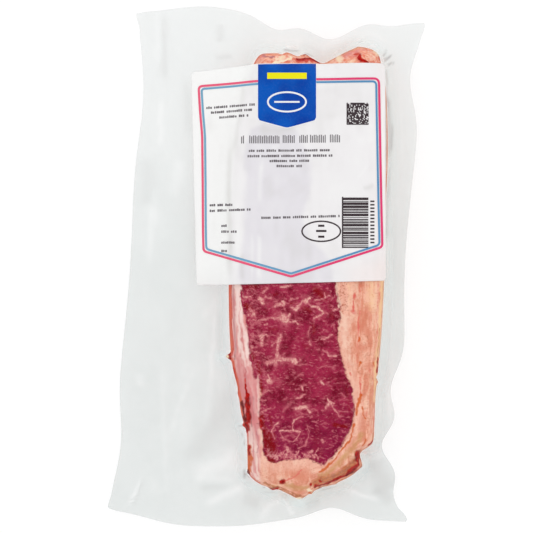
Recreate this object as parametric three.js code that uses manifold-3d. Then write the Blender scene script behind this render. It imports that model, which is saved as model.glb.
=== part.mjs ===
// Vacuum-packed beef striploin: one thick steak in a clear sealed pouch, with a paper label on the film.
// Millimetres, +Z up. The pack lies on its back with the cut face of the steak looking up.
// The origin is the middle of the pack's footprint, at the level of the table that it lies on.

import * as THREE from "three";
import { mergeVertices } from "three/addons/utils/BufferGeometryUtils.js";
import Module from "manifold-3d";

const wasm = await Module();
wasm.setup();

// The pouch is a 200 x 300 mm stock bag, and the steak draws its sides in as the air is pumped out.
const POUCH_CORNERS = {
  bottomLeft: [-92.5, -140.9],
  bottomRight: [82, -148.6],
  topRight: [92.5, 141.8],
  topLeft: [-75.7, 147.2],
};
// Soft waves of each sealed edge: place along it from 0 to 1, reach outwards, half-width as a share of the edge.
const EDGE_WAVES = {
  bottom: [[0.24, 6.9, 0.16], [0.45, 5.2, 0.15], [0.75, -6.5, 0.08]],
  right: [[0.055, -8.0, 0.045], [0.15, -15.0, 0.048], [0.26, -9.5, 0.06], [0.5, -6.8, 0.26], [0.89, -7.0, 0.07]],
  top: [[0.12, -2.4, 0.06], [0.33, -11.6, 0.094], [0.51, -7.0, 0.073], [0.76, 5.3, 0.17]],
  left: [[0.16, -5.6, 0.13], [0.5, -4.8, 0.28], [0.87, -4.6, 0.09]],
};
const EDGE_STEPS = { bottom: 28, right: 46, top: 28, left: 42 };
const CORNER_FADE = 0.03; // share of an edge over which its waves die out at a corner
const FILM = 0.6; // two plies of film pressed together, drawn stouter than the real 0.2
const MARGIN_REST = 5; // height of the film margin above the table

// The steak: a 30 mm slice of loin, 93 mm across its fat and lean and 263 mm long, with two lobes at its top end.
const STEAK_HEIGHT = 30;
const BASE_EDGE = 3; // chamfer where the steak's flank meets its flat underside
const STEAK_OUTLINE = [
  [19.3, -135.4], [27.5, -130.6], [40, -126.3], [50, -121.3], [55.4, -115.5], [54.6, -108.5], [61.6, -102.6],
  [62.8, -92], [63.4, -76], [65.2, -58], [66.8, -40], [68.4, -10], [69.4, 35], [70.6, 66], [69.2, 105],
  [66.6, 118.5], [65, 123.6], [61, 126.4], [54, 127.6], [45, 124.2], [38.5, 120.8], [32.5, 118.3], [27, 121],
  [22, 123.3], [12, 124.1], [3, 124.1], [-3.8, 123.2], [-8, 117], [-11.5, 108], [-18.5, 70], [-21.8, 10],
  [-22.2, -14], [-21.6, -40], [-20, -58], [-17.1, -70], [-14.8, -86], [-11.8, -97], [-11.3, -110], [-10.2, -121],
  [-3.6, -126.8], [6, -129.4], [13, -132.6],
];
const SPINE = [new THREE.Vector2(22, -88), new THREE.Vector2(27, 82)];
const LEAN_OUTLINE = [
  [4, -112.6], [14, -111.6], [26, -111], [32.3, -114.2], [40.5, -106.5], [47.4, -96], [50.2, -86], [49, -71],
  [44, -57.5], [41.3, -46], [40.9, -38], [42.8, -28], [40.2, -12], [38.5, 30], [36, 70], [28, 98], [14, 107],
  [1, 98], [-7, 70], [-12, 30], [-13.8, -10], [-12, -30], [-9.2, -46], [-6.4, -60], [-3.4, -71], [-3.8, -86],
  [-2.2, -98], [-0.8, -109],
];
const LEAN_STEPS = 104;
const LEAN_SINK = 0.7; // the lean's face lies this much lower than the fat's
const CUT_GAP = 0.3; // clearance between neighbouring solids

// How the film hugs the steak on each side: height where it leaves the flank, run of the web
// out to the flat margin, and width of the rounded shoulder between flank and cut face.
const COLLAR = { left: 11, right: 14, bottom: 9, top: 10, label: 21 };
const WEB = { left: 9, right: 8, bottom: 13, top: 17, label: 30 };
const SHOULDER = { left: 12, right: 4.5, bottom: 11, top: 15, label: 9 };

// Relief of the cut face, and the rise and fall of the film margin: x, y, rise, reach.
const FACE_LUMPS = [
  [58, 118, 3.5, 13], [2, 116, 2.5, 12], [20, 119, 2, 9], [33, 121, -6, 8], [18, -128, -3, 16], [50, -112, -2, 12],
  [12, 20, 0.8, 26], [30, -70, 0.9, 24],
];
const MARGIN_LIFTS = [
  [37, 134, 8, 17], [70, -104, 7, 13], [76, -66, 3.5, 14], [84, 112, 4, 18], [44, -142, 6, 17], [-84, 30, -2, 45],
  [-60, 120, 3, 30], [-88, -132, -2.5, 22], [-45, -60, -1.5, 30], [-30, 148, 3, 26], [90, 138, -2, 16],
];
// Folds that fan out of the steak's corners: from x, y, to x, y, rise, half-width.
const FOLDS = [
  [-10, -124, -38, -140, 2.4, 5], [-16, -120, -52, -124, 1.8, 5], [9, -134, 2, -148, 2.2, 4.5],
  [12, -134, 20, -146, 2, 4.5], [60, -106, 74, -124, 2.2, 5], [-14, 120, -20, 146, 2, 5.5],
  [33, 120, 36, 136, 2.4, 5], [70, 122, 80, 134, 2, 4.5], [-20, -70, -50, -112, 1.6, 7],
];
// The fat cap's long groove, beside the steak's right flank.
const GROOVE = { x: 54.5, from: -96, to: 112, depth: 1.5, halfWidth: 2.6 };

const LABEL_CORNERS = [[-40.7, -11], [68.9, -8.2], [68.6, 117.5], [-43.9, 112.9]];
const LABEL_TOP_BEND = { at: 0.337, rise: 2.65 }; // the top edge rises over the steak's left shoulder
const LABEL_CORNER_CUT = 0.9; // how far each rounded corner stands back along the diagonal
const LABEL_THICKNESS = 0.5;
const LABEL_LIFT = 0.85;
const LABEL_BRIDGE = 2; // reach of the paper's stiffness over dips
const LABEL_GRID = [20, 23];

const { lerp, smoothstep } = THREE.MathUtils;
const bell = (distance, halfWidth) => Math.exp(-((distance / halfWidth) ** 2));

// Outlines

function wavyEdge(from, to, waves, steps) {
  const a = new THREE.Vector2(...from);
  const b = new THREE.Vector2(...to);
  const along = b.clone().sub(a);
  const outward = new THREE.Vector2(along.y, -along.x).normalize();
  return Array.from({ length: steps }, (_, i) => {
    const t = i / steps;
    const fade = smoothstep(Math.min(t, 1 - t), 0, CORNER_FADE);
    const reach = waves.reduce((sum, [at, out, halfWidth]) => sum + out * bell(t - at, halfWidth), 0);
    return a.clone().addScaledVector(along, t).addScaledVector(outward, reach * fade);
  });
}

function pouchOutline() {
  const { bottomLeft, bottomRight, topRight, topLeft } = POUCH_CORNERS;
  return [
    ...wavyEdge(bottomLeft, bottomRight, EDGE_WAVES.bottom, EDGE_STEPS.bottom),
    ...wavyEdge(bottomRight, topRight, EDGE_WAVES.right, EDGE_STEPS.right),
    ...wavyEdge(topRight, topLeft, EDGE_WAVES.top, EDGE_STEPS.top),
    ...wavyEdge(topLeft, bottomLeft, EDGE_WAVES.left, EDGE_STEPS.left),
  ];
}

function smoothLoop(points, steps) {
  const curve = new THREE.CatmullRomCurve3(points.map(([x, y]) => new THREE.Vector3(x, y, 0)), true, "centripetal");
  return curve.getSpacedPoints(steps).slice(0, steps).map((p) => new THREE.Vector2(p.x, p.y));
}

function offsetLoop(loop, outward) {
  return loop.map((p, i) => {
    const before = loop[(i + loop.length - 1) % loop.length];
    const after = loop[(i + 1) % loop.length];
    const tangent = after.clone().sub(before).normalize();
    return new THREE.Vector2(p.x + tangent.y * outward, p.y - tangent.x * outward);
  });
}

function nearestOnSegment(p, a, b) {
  const ab = b.clone().sub(a);
  const t = THREE.MathUtils.clamp(p.clone().sub(a).dot(ab) / ab.lengthSq(), 0, 1);
  return { t, point: a.clone().addScaledVector(ab, t) };
}

// Distance from p to a closed loop, positive inside.
function depthInside(p, loop) {
  let nearest = Infinity;
  let inside = false;
  loop.forEach((a, i) => {
    const b = loop[(i + 1) % loop.length];
    nearest = Math.min(nearest, nearestOnSegment(p, a, b).point.distanceTo(p));
    const crosses = a.y > p.y !== b.y > p.y;
    if (crosses && p.x < a.x + ((p.y - a.y) * (b.x - a.x)) / (b.y - a.y)) inside = !inside;
  });
  return inside ? nearest : -nearest;
}

// Where the straight line from outer to inner enters a closed loop.
function entryPoint(outer, inner, loop) {
  let first = 1;
  const d = inner.clone().sub(outer);
  loop.forEach((a, i) => {
    const e = loop[(i + 1) % loop.length].clone().sub(a);
    const across = d.cross(e);
    if (Math.abs(across) < 1e-9) return;
    const toStart = a.clone().sub(outer);
    const t = toStart.cross(e) / across;
    const u = toStart.cross(d) / across;
    if (u >= 0 && u <= 1 && t > 0 && t < first) first = t;
  });
  return outer.clone().addScaledVector(d, first);
}

// One line for each point of the pouch's edge: from that edge, across the steak's outline, to the steak's spine.
const pouchEdge = pouchOutline();
const smoothSteak = smoothLoop(STEAK_OUTLINE, 300);
const spokes = pouchEdge.map((outer) => {
  const spine = nearestOnSegment(outer, SPINE[0], SPINE[1]).point;
  return { outer, rim: entryPoint(outer, spine, smoothSteak), spine };
});
const steakEdge = spokes.map((s) => s.rim);
const leanEdge = smoothLoop(LEAN_OUTLINE, LEAN_STEPS);

// Heights

// Blends a dimension that differs from side to side of the steak.
function aroundSteak({ left, right, bottom, top, label }, { x, y }) {
  const side = lerp(left, right, smoothstep(x, 0, 45));
  const atTop = smoothstep(y, 96, 120);
  const atBottom = 1 - smoothstep(y, -122, -98);
  const plain = side * (1 - atTop - atBottom) + top * atTop + bottom * atBottom;
  const underLabel = smoothstep(y, -26, 2) * (1 - smoothstep(y, 104, 124)) * (1 - smoothstep(x, -12, 18));
  return lerp(plain, label, underLabel);
}

const lumpsAt = (lumps, { x, y }) =>
  lumps.reduce((sum, [lx, ly, rise, reach]) => sum + rise * bell(Math.hypot(x - lx, y - ly), reach), 0);

function marginHeight(p) {
  const folds = FOLDS.reduce((sum, [ax, ay, bx, by, rise, halfWidth]) => {
    const { t, point } = nearestOnSegment(p, new THREE.Vector2(ax, ay), new THREE.Vector2(bx, by));
    return sum + rise * (1 - 0.6 * t) * bell(point.distanceTo(p), halfWidth);
  }, 0);
  const ripple = 0.5 * Math.sin(p.x / 9 + p.y / 40);
  return MARGIN_REST + lumpsAt(MARGIN_LIFTS, p) + folds + ripple;
}

function faceHeight(p) {
  const dome = -1.4 * ((p.x - 26) / 46) ** 2;
  const sunken = LEAN_SINK * smoothstep(depthInside(p, leanEdge), -1.5, 1.5);
  const along = smoothstep(p.y, GROOVE.from, GROOVE.from + 25) * (1 - smoothstep(p.y, GROOVE.to - 25, GROOVE.to));
  const groove = GROOVE.depth * along * bell(p.x - GROOVE.x - 1.5 * Math.sin(p.y / 30), GROOVE.halfWidth);
  return STEAK_HEIGHT + dome - sunken - groove + lumpsAt(FACE_LUMPS, p);
}

// Height of the upper film everywhere: cut face, shoulder, web and margin.
function topHeight(p) {
  const depth = depthInside(p, steakEdge);
  const collar = aroundSteak(COLLAR, p);
  if (depth >= 0) {
    const share = Math.min(depth / aroundSteak(SHOULDER, p), 1);
    return collar + (faceHeight(p) - collar) * (1 - (1 - share) ** 2.6);
  }
  const share = Math.min(-depth / aroundSteak(WEB, p), 1);
  return lerp(collar, marginHeight(p) + FILM / 2, 1 - (1 - share) ** 2);
}

function webUnderside(p) {
  const share = Math.min(-Math.min(depthInside(p, steakEdge), 0) / aroundSteak(WEB, p), 1);
  return lerp(BASE_EDGE, marginHeight(p) - FILM / 2, 1 - (1 - share) ** 2);
}

// Solids

function geometryOf(points, triangles) {
  const geometry = new THREE.BufferGeometry();
  geometry.setAttribute("position", new THREE.Float32BufferAttribute(points.flat(), 3));
  geometry.setIndex(triangles.flat());
  return geometry;
}

// Sides between rings that run anticlockwise, seen from above, stacked from a lower or outer one to the next.
function bandTriangles(rings, count) {
  const triangles = [];
  for (let r = 0; r + 1 < rings; r++) {
    for (let i = 0; i < count; i++) {
      const a = r * count + i;
      const b = r * count + ((i + 1) % count);
      triangles.push([a, b, b + count], [a, b + count, a + count]);
    }
  }
  return triangles;
}

const capTriangles = (ring) => THREE.ShapeUtils.triangulateShape(ring.map(([x, y]) => new THREE.Vector2(x, y)), []);

function steakGeometry() {
  const ringAt = (inset, share, height) =>
    spokes.map(({ rim, spine }) => {
      const length = rim.distanceTo(spine);
      const t = Math.max(inset / length, share);
      const p = rim.clone().lerp(spine, Math.min(t, 0.94));
      return [p.x, p.y, height(p)];
    });
  const rings = [ringAt(BASE_EDGE, 0, () => 0), ringAt(0, 0, () => BASE_EDGE)];
  for (const inset of [0, 1, 2.5, 4.5, 7.5, 11.5]) rings.push(ringAt(inset, 0, topHeight));
  for (const share of [0.4, 0.52, 0.64, 0.76, 0.88]) rings.push(ringAt(0, share, topHeight));
  const count = spokes.length;
  const top = (rings.length - 1) * count;
  const triangles = bandTriangles(rings.length, count);
  for (const [a, b, c] of capTriangles(rings[0])) triangles.push([a, c, b]);
  for (const [a, b, c] of capTriangles(rings.at(-1))) triangles.push([a + top, b + top, c + top]);
  return geometryOf(rings.flat(), triangles);
}

// The film outside the steak: a flat margin that thickens to a web where its two plies part round the flank.
function pouchGeometry() {
  const innerLoop = offsetLoop(steakEdge, CUT_GAP);
  const ringAt = (share, reach, height) =>
    spokes.map(({ outer }, i) => {
      const t = Math.max(share, Math.min(reach / outer.distanceTo(innerLoop[i]), share + 0.12));
      const p = innerLoop[i].clone().lerp(outer, t);
      return [p.x, p.y, height(p)];
    });
  const steps = [[0, 0], [0, 2.5], [0.03, 6], [0.12, 11], [0.26, 0], [0.42, 0], [0.6, 0], [0.8, 0], [1, 0]];
  const above = steps.map(([share, reach]) => ringAt(share, reach, topHeight));
  const below = steps.map(([share, reach]) => ringAt(share, reach, webUnderside));
  const rings = [...below, ...above.reverse(), below[0]];
  const count = spokes.length;
  const last = (rings.length - 1) * count;
  const triangles = bandTriangles(rings.length, count).map((t) => t.map((v) => (v >= last ? v - last : v)));
  return geometryOf(rings.slice(0, -1).flat(), triangles);
}

function prismGeometry(loop, height) {
  return new THREE.ExtrudeGeometry(new THREE.Shape(loop), { depth: height, bevelEnabled: false });
}

// A sheet that bridges the small dips of the film under it, on a grid between its four corners.
function labelGeometry() {
  const [bottomLeft, bottomRight, topRight, topLeft] = LABEL_CORNERS.map(([x, y]) => new THREE.Vector2(x, y));
  const [across, up] = LABEL_GRID;
  const middle = bottomLeft.clone().add(topRight).multiplyScalar(0.5);
  const placeAt = (i, j) => {
    const u = i / across;
    const p = bottomLeft.clone().lerp(bottomRight, u).lerp(topLeft.clone().lerp(topRight, u), j / up);
    const { at, rise } = LABEL_TOP_BEND;
    p.y += (j / up) * rise * Math.min(u / at, (1 - u) / (1 - at));
    const isCorner = (i === 0 || i === across) && (j === 0 || j === up);
    return isCorner ? p.add(middle.clone().sub(p).setLength(LABEL_CORNER_CUT)) : p;
  };
  const bridge = [-LABEL_BRIDGE, 0, LABEL_BRIDGE];
  const heightAt = (p) =>
    Math.max(...bridge.flatMap((dx) => bridge.map((dy) => topHeight(new THREE.Vector2(p.x + dx, p.y + dy)))));
  const points = [];
  for (const lift of [LABEL_LIFT, LABEL_LIFT + LABEL_THICKNESS]) {
    for (let j = 0; j <= up; j++) {
      for (let i = 0; i <= across; i++) {
        const p = placeAt(i, j);
        points.push([p.x, p.y, heightAt(p) + lift]);
      }
    }
  }
  const triangles = [];
  const layer = (across + 1) * (up + 1);
  const quad = (a, b, c, d) => triangles.push([a, b, c], [a, c, d]);
  for (let j = 0; j < up; j++) {
    for (let i = 0; i < across; i++) {
      const a = j * (across + 1) + i;
      const b = a + across + 1;
      quad(a, b, b + 1, a + 1);
      quad(a + layer, a + 1 + layer, b + 1 + layer, b + layer);
    }
  }
  const rim = [];
  for (let i = 0; i < across; i++) rim.push(i);
  for (let j = 0; j < up; j++) rim.push(j * (across + 1) + across);
  for (let i = across; i > 0; i--) rim.push(up * (across + 1) + i);
  for (let j = up; j > 0; j--) rim.push(j * (across + 1));
  rim.forEach((a, i) => {
    const b = rim[(i + 1) % rim.length];
    quad(a, b, b + layer, a + layer);
  });
  return geometryOf(points, triangles);
}

function toSolid(geometry) {
  const plain = geometry.clone();
  plain.deleteAttribute("normal");
  plain.deleteAttribute("uv");
  const merged = mergeVertices(plain, 1e-3);
  return new wasm.Manifold(
    new wasm.Mesh({
      numProp: 3,
      vertProperties: new Float32Array(merged.attributes.position.array),
      triVerts: new Uint32Array(merged.index.array),
    }),
  );
}

function toGeometry(solid) {
  const { vertProperties, triVerts } = solid.getMesh();
  const geometry = new THREE.BufferGeometry();
  geometry.setAttribute("position", new THREE.BufferAttribute(vertProperties, 3));
  geometry.setIndex(new THREE.BufferAttribute(triVerts, 1));
  geometry.computeVertexNormals();
  return geometry;
}

const PRISM_HEIGHT = 80;
const steak = toSolid(steakGeometry());
const sunkPrism = (loop) => toSolid(prismGeometry(loop, PRISM_HEIGHT)).translate([0, 0, -PRISM_HEIGHT / 2]);
const lean = steak.intersect(sunkPrism(offsetLoop(leanEdge, -CUT_GAP / 2)));
const fatCap = steak.subtract(sunkPrism(offsetLoop(leanEdge, CUT_GAP / 2)));
const pouch = toSolid(pouchGeometry());
const label = toSolid(labelGeometry());

function node(name, solid, material) {
  const mesh = new THREE.Mesh(toGeometry(solid), new THREE.MeshStandardMaterial(material));
  mesh.name = name;
  return mesh;
}

const pack = new THREE.Group();
pack.name = "packed_striploin";
pack.add(node("lean", lean, { color: 0x8f2a3c, roughness: 0.45, metalness: 0 }));
pack.add(node("fat_cap", fatCap, { color: 0xeeb39c, roughness: 0.45, metalness: 0 }));
pack.add(node("pouch", pouch, { color: 0xe2e5e4, roughness: 0.2, metalness: 0, transparent: true, opacity: 0.45 }));
pack.add(node("label", label, { color: 0xf3f1f0, roughness: 0.5, metalness: 0 }));

export default pack;
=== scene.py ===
# Looks of the vacuum-packed striploin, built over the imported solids.
# Lengths are in millimetres here and become metres when a mesh is made.

import math

import bpy
import numpy as np
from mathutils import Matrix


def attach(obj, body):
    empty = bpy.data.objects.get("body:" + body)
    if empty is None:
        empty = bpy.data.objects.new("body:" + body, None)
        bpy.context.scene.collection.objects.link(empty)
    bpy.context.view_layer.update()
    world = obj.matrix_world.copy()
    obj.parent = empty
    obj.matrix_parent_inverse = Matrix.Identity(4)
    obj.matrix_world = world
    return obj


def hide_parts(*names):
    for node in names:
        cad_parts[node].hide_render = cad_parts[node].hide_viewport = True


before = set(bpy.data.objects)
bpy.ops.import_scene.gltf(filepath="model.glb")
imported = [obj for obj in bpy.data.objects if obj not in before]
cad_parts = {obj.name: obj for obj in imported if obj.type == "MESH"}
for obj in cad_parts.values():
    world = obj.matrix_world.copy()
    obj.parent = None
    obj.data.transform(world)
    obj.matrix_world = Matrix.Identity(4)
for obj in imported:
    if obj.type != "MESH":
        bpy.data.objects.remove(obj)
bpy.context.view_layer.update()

MM = 0.001  # metres in a millimetre
FLECK_SEED = 8
ROW_SEED = 27  # the first row's; each further row adds one
BAR_SEED = 87
SQUARE_SEED = 97


def strokes(*rows):
    """A row is two settings and then x, y, x, y and so on; it becomes a line of points and the settings."""
    return [(list(zip(row[2::2], row[3::2])), row[0], row[1]) for row in rows]


# The pouch: a 200 x 300 mm stock bag whose sides the steak draws in.
POUCH_CORNERS = {
    "bottom_left": (-92.5, -140.9),
    "bottom_right": (82.0, -148.6),
    "top_right": (92.5, 141.8),
    "top_left": (-75.7, 147.2),
}
# Soft waves of each sealed edge: place along it, reach outwards, half-width as a share of the edge.
EDGE_WAVES = {
    "bottom": [(0.24, 6.9, 0.16), (0.45, 5.2, 0.15), (0.75, -6.5, 0.08)],
    "right": [
        (0.055, -8.0, 0.045), (0.15, -15.0, 0.048), (0.26, -9.5, 0.06), (0.5, -6.8, 0.26), (0.89, -7.0, 0.07),
    ],
    "top": [(0.12, -2.4, 0.06), (0.33, -11.6, 0.094), (0.51, -7.0, 0.073), (0.76, 5.3, 0.17)],
    "left": [(0.16, -5.6, 0.13), (0.5, -4.8, 0.28), (0.87, -4.6, 0.09)],
}
CORNER_FADE = 0.03  # share of an edge over which its waves fade towards a corner
MARGIN_REST = 5.0  # usual height of the margin above the table
PLY_GAP = 0.3  # the two plies of film stand this far apart in the margin

# The steak: its height, that of its rounded lower edge, the dome of its cut face, and its outline
STEAK_HEIGHT = 30.0
BASE_EDGE = 3.0
DOME = {"middle": 26.0, "reach": 46.0, "drop": 1.4}
STEAK_OUTLINE = [
    (19.3, -135.4), (27.5, -130.6), (40, -126.3), (50, -121.3), (55.4, -115.5), (54.6, -108.5),
    (61.6, -102.6), (62.8, -92), (63.4, -76), (65.2, -58), (66.8, -40), (68.4, -10), (69.4, 35), (70.6, 66),
    (69.2, 105), (66.6, 118.5), (65, 123.6), (61, 126.4), (54, 127.6), (45, 124.2), (38.5, 120.8),
    (32.5, 118.3), (27, 121), (22, 123.3), (12, 124.1), (3, 124.1), (-3.8, 123.2), (-8, 117), (-11.5, 108),
    (-18.5, 70), (-21.8, 10), (-22.2, -14), (-21.6, -40), (-20, -58), (-17.1, -70), (-14.8, -86),
    (-11.8, -97), (-11.3, -110), (-10.2, -121), (-3.6, -126.8), (6, -129.4), (13, -132.6),
]
# Scraps of trimming that stand out of the rim, and small bites into it: middle, reach outwards, half-width.
RIM_BITS = [
    ((-21.0, -52.4), 3.2, 1.7), ((-13.2, -92.2), 1.4, 1.1), ((-10.6, -119.2), 1.0, 1.3),
    ((64.3, -67), 0.7, 1.1), ((64.7, -64), -0.8, 1.0), ((3.6, -128.8), 1.5, 2.2),
    ((26.2, -131.2), 1.1, 1.3), ((55.3, -116), 0.7, 1.6), ((-16.4, -74), 0.5, 2.0),
    ((40, -126.4), 0.5, 1.6), ((33, -128.8), -0.4, 1.4), ((8.5, 124), -0.8, 1.4), ((12, 124), 0.6, 1.6),
    ((17.5, 123.8), -1.6, 2.6), ((23, 123.2), 0.6, 1.6), ((53, 127.6), 0.6, 1.4),
]
# Line inside the lean towards which the rows of mesh points run from the pouch's edge
SPINE = ((22.0, -88.0), (27.0, 82.0))
LEAN_OUTLINE = [
    (4, -112.6), (14, -111.6), (26, -111), (32.3, -114.2), (40.5, -106.5), (47.4, -96), (50.2, -86),
    (49, -71), (44, -57.5), (41.3, -46), (40.9, -38), (42.8, -28), (40.2, -12), (38.5, 30), (36, 70),
    (28, 98), (14, 107), (1, 98), (-7, 70), (-12, 30), (-13.8, -10), (-12, -30), (-9.2, -46), (-6.4, -60),
    (-3.4, -71), (-3.8, -86), (-2.2, -98), (-0.8, -109),
]
LEAN_SINK = 0.7  # the lean lies this far below the fat
# Gaps between the meat and the film's rim, the film over it and the table
MEAT_INSET = 0.25
MEAT_UNDER_FILM = 0.12
MEAT_BASE = 0.3
FLANK_RISES = (0.1, 0.2, 0.3, 0.4, 0.5, 0.6, 0.7, 0.8, 0.9)  # levels of the flank's mesh points

# By side of the steak, and where the label bridges it: height at which the film leaves the flank,
# reach of its web beyond the rim, and reach of the rounded shoulder within it
COLLAR = {"left": 11.0, "right": 14.0, "bottom": 9.0, "top": 10.0, "label": 21.0}
WEB = {"left": 9.0, "right": 8.0, "bottom": 13.0, "top": 17.0, "label": 30.0}
SHOULDER = {"left": 12.0, "right": 4.5, "bottom": 11.0, "top": 15.0, "label": 9.0}
SHOULDER_POWER = 2.6

# Lumps of the cut face and lifts of the margin: x, y, rise, reach
FACE_LUMPS = [
    (58, 118, 3.5, 13), (2, 116, 2.5, 12), (20, 119, 2, 9), (33, 121, -6, 8), (18, -128, -3, 16),
    (50, -112, -2, 12), (12, 20, 0.8, 26), (30, -70, 0.9, 24),
]
MARGIN_LIFTS = [
    (37, 134, 8, 17), (70, -104, 7, 13), (76, -66, 3.5, 14), (84, 112, 4, 18), (44, -142, 6, 17),
    (-84, 30, -2, 45), (-60, 120, 3, 30), (-88, -132, -2.5, 22), (-45, -60, -1.5, 30), (-30, 148, 3, 26),
    (90, 138, -2, 16),
]
# Folds of the margin: from x, y, to x, y, rise, half-width
FOLDS = [
    (-10, -124, -38, -140, 2.4, 5), (-16, -120, -52, -124, 1.8, 5), (9, -134, 2, -148, 2.2, 4.5),
    (12, -134, 20, -146, 2, 4.5), (60, -106, 74, -124, 2.2, 5), (-14, 120, -20, 146, 2, 5.5),
    (33, 120, 36, 136, 2.4, 5), (70, 122, 80, 134, 2, 4.5), (-20, -70, -50, -112, 1.6, 7),
]
GROOVE = {"x": 54.5, "from": -96.0, "to": 112.0, "fade": 25, "depth": 1.5, "half_width": 2.6}

FILM_LIFT = 0.06
FILM_SHRINK = 0.9998  # keeps the film's edge inside the size of the solids
CREASE_SHARE = 0.7  # share of its listed rise that a crease reaches
# Spacing of mesh points along the pouch's edge and the film's rim, and along the meat's rim below the label,
# above it and under it; the span is the label's south and north end.
EDGE_SPACING = 2.2
FILM_SPACING = 1.1
BARE_SPACING = 0.6
TOP_SPACING = 0.8
HIDDEN_SPACING = 1.9
LABEL_SPAN = (-4, 110)
# Steps round the pouch's short sides, in each piece of a smooth curve, and round each whole curve
OUTLINE_STEPS = 900
CURVE_STEPS = 40
LOOP_STEPS = {"steak": 420, "lean": 200, "rim": 260, "lilac": 120}
# Rings of mesh points on the meat and on each ply of film; the innermost lies just short of the spine.
RINGS = {"fat_top": 46, "fat_low": 12, "lean_top": 58, "lean_low": 18}
FILM_RINGS = {"beside": 64, "over": 34, "low_beside": 22, "under": 10}
NEAR_SPINE = 0.985
NOISE_CELLS = 64
NOISE_LAYERS = 3
NOISE_ORIGIN = (17.3, 5.7)
STROKE_SWELL = 0.4  # share by which a stroke's width varies along it

# The label: corners anticlockwise from its bottom left
LABEL_CORNERS = [(-40.7, -11.0), (68.9, -8.2), (68.6, 117.5), (-43.9, 112.9)]
LABEL_TOP_BEND = (0.337, 2.65)  # share across where the top edge bends, and its rise there
LABEL_CORNER_RADIUS = 2.0
LABEL_SIZE = (111.0, 125.0)  # about, for the rounding of its corners
LABEL_GRID = (168, 188)  # mesh points across and up
LABEL_THICKNESS = 0.25
LABEL_LIFT = 0.35
LABEL_CLEARANCE = 0.05
# Height field on which the label lies: its cell, and the reach in cells of its ridges and of its blur
FIELD_CELL = 0.8
FIELD_RIDGE = 3
FIELD_BLUR = 4
FIELD_BLUR_WIDTH = 1.8

# Creases of the film, seen only in the scene: rise, half-width and a line of points.
CREASES = strokes(
    (-0.7, 3, -60, 150, -59.5, 106), (0.5, 1.8, -61.5, 90, -61.8, 72), (0.5, 2.2, -67.5, 30, -68, 2),
    (0.8, 4, -50, 64, -55, 36), (0.7, 3.5, -73, 20, -80, -60, -84, -110),
    (-1.6, 6, -22, -76, -30, -98, -44, -118), (1.8, 3.4, -13, -106, -30, -119, -46, -123),
    (0.7, 2.2, -33, -58, -33, -86), (0.7, 3, -47, -40, -50, -112), (0.9, 2, -60, -74, -58, -131),
    (1.3, 1.3, -73.5, -124, -80, -140), (1.7, 2.2, -11, -127, -24, -133, -37, -139),
    (0.4, 2, -14, -125, -44, -124.5), (1.2, 2.2, 7, -134, 0, -141, -5, -149),
    (1.2, 1.5, 9.5, -133, 16.5, -146), (0.8, 2, 30, -131, 33, -140), (1.3, 2, 44, -127, 55, -133, 68, -137),
    (1, 1.5, 56.5, -107.5, 66, -110, 74, -118), (-1.2, 3.2, 57, -109, 62, -120, 70, -134),
    (0.9, 1.4, 58, -103.5, 68, -101), (0.8, 1.4, 65, -70, 72, -76), (0.7, 1.4, 64.5, -84, 72, -92),
    (0.6, 1.8, 68.5, -30, 74, -44), (1.2, 1.8, -6, 124, -12, 140), (0.9, 1.6, 3, 126, 0, 144),
    (0.9, 1.6, 16, 126, 14, 142), (1, 1.5, 31, 122, 31, 134), (0.7, 1.4, 45, 128, 46, 138),
    (1.1, 1.4, 72, 118, 83, 130), (0.9, 1.2, 72, 114, 86, 118), (1, 1.5, 68, 125, 73, 138),
    (0.7, 1.8, 76, 90, 78, 60), (0.6, 1.8, 75, 50, 76, 10), (0.7, 1.8, 71, 0, 74, -44),
    (-0.7, 2.2, -27, 142, -27, 128),
)
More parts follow.
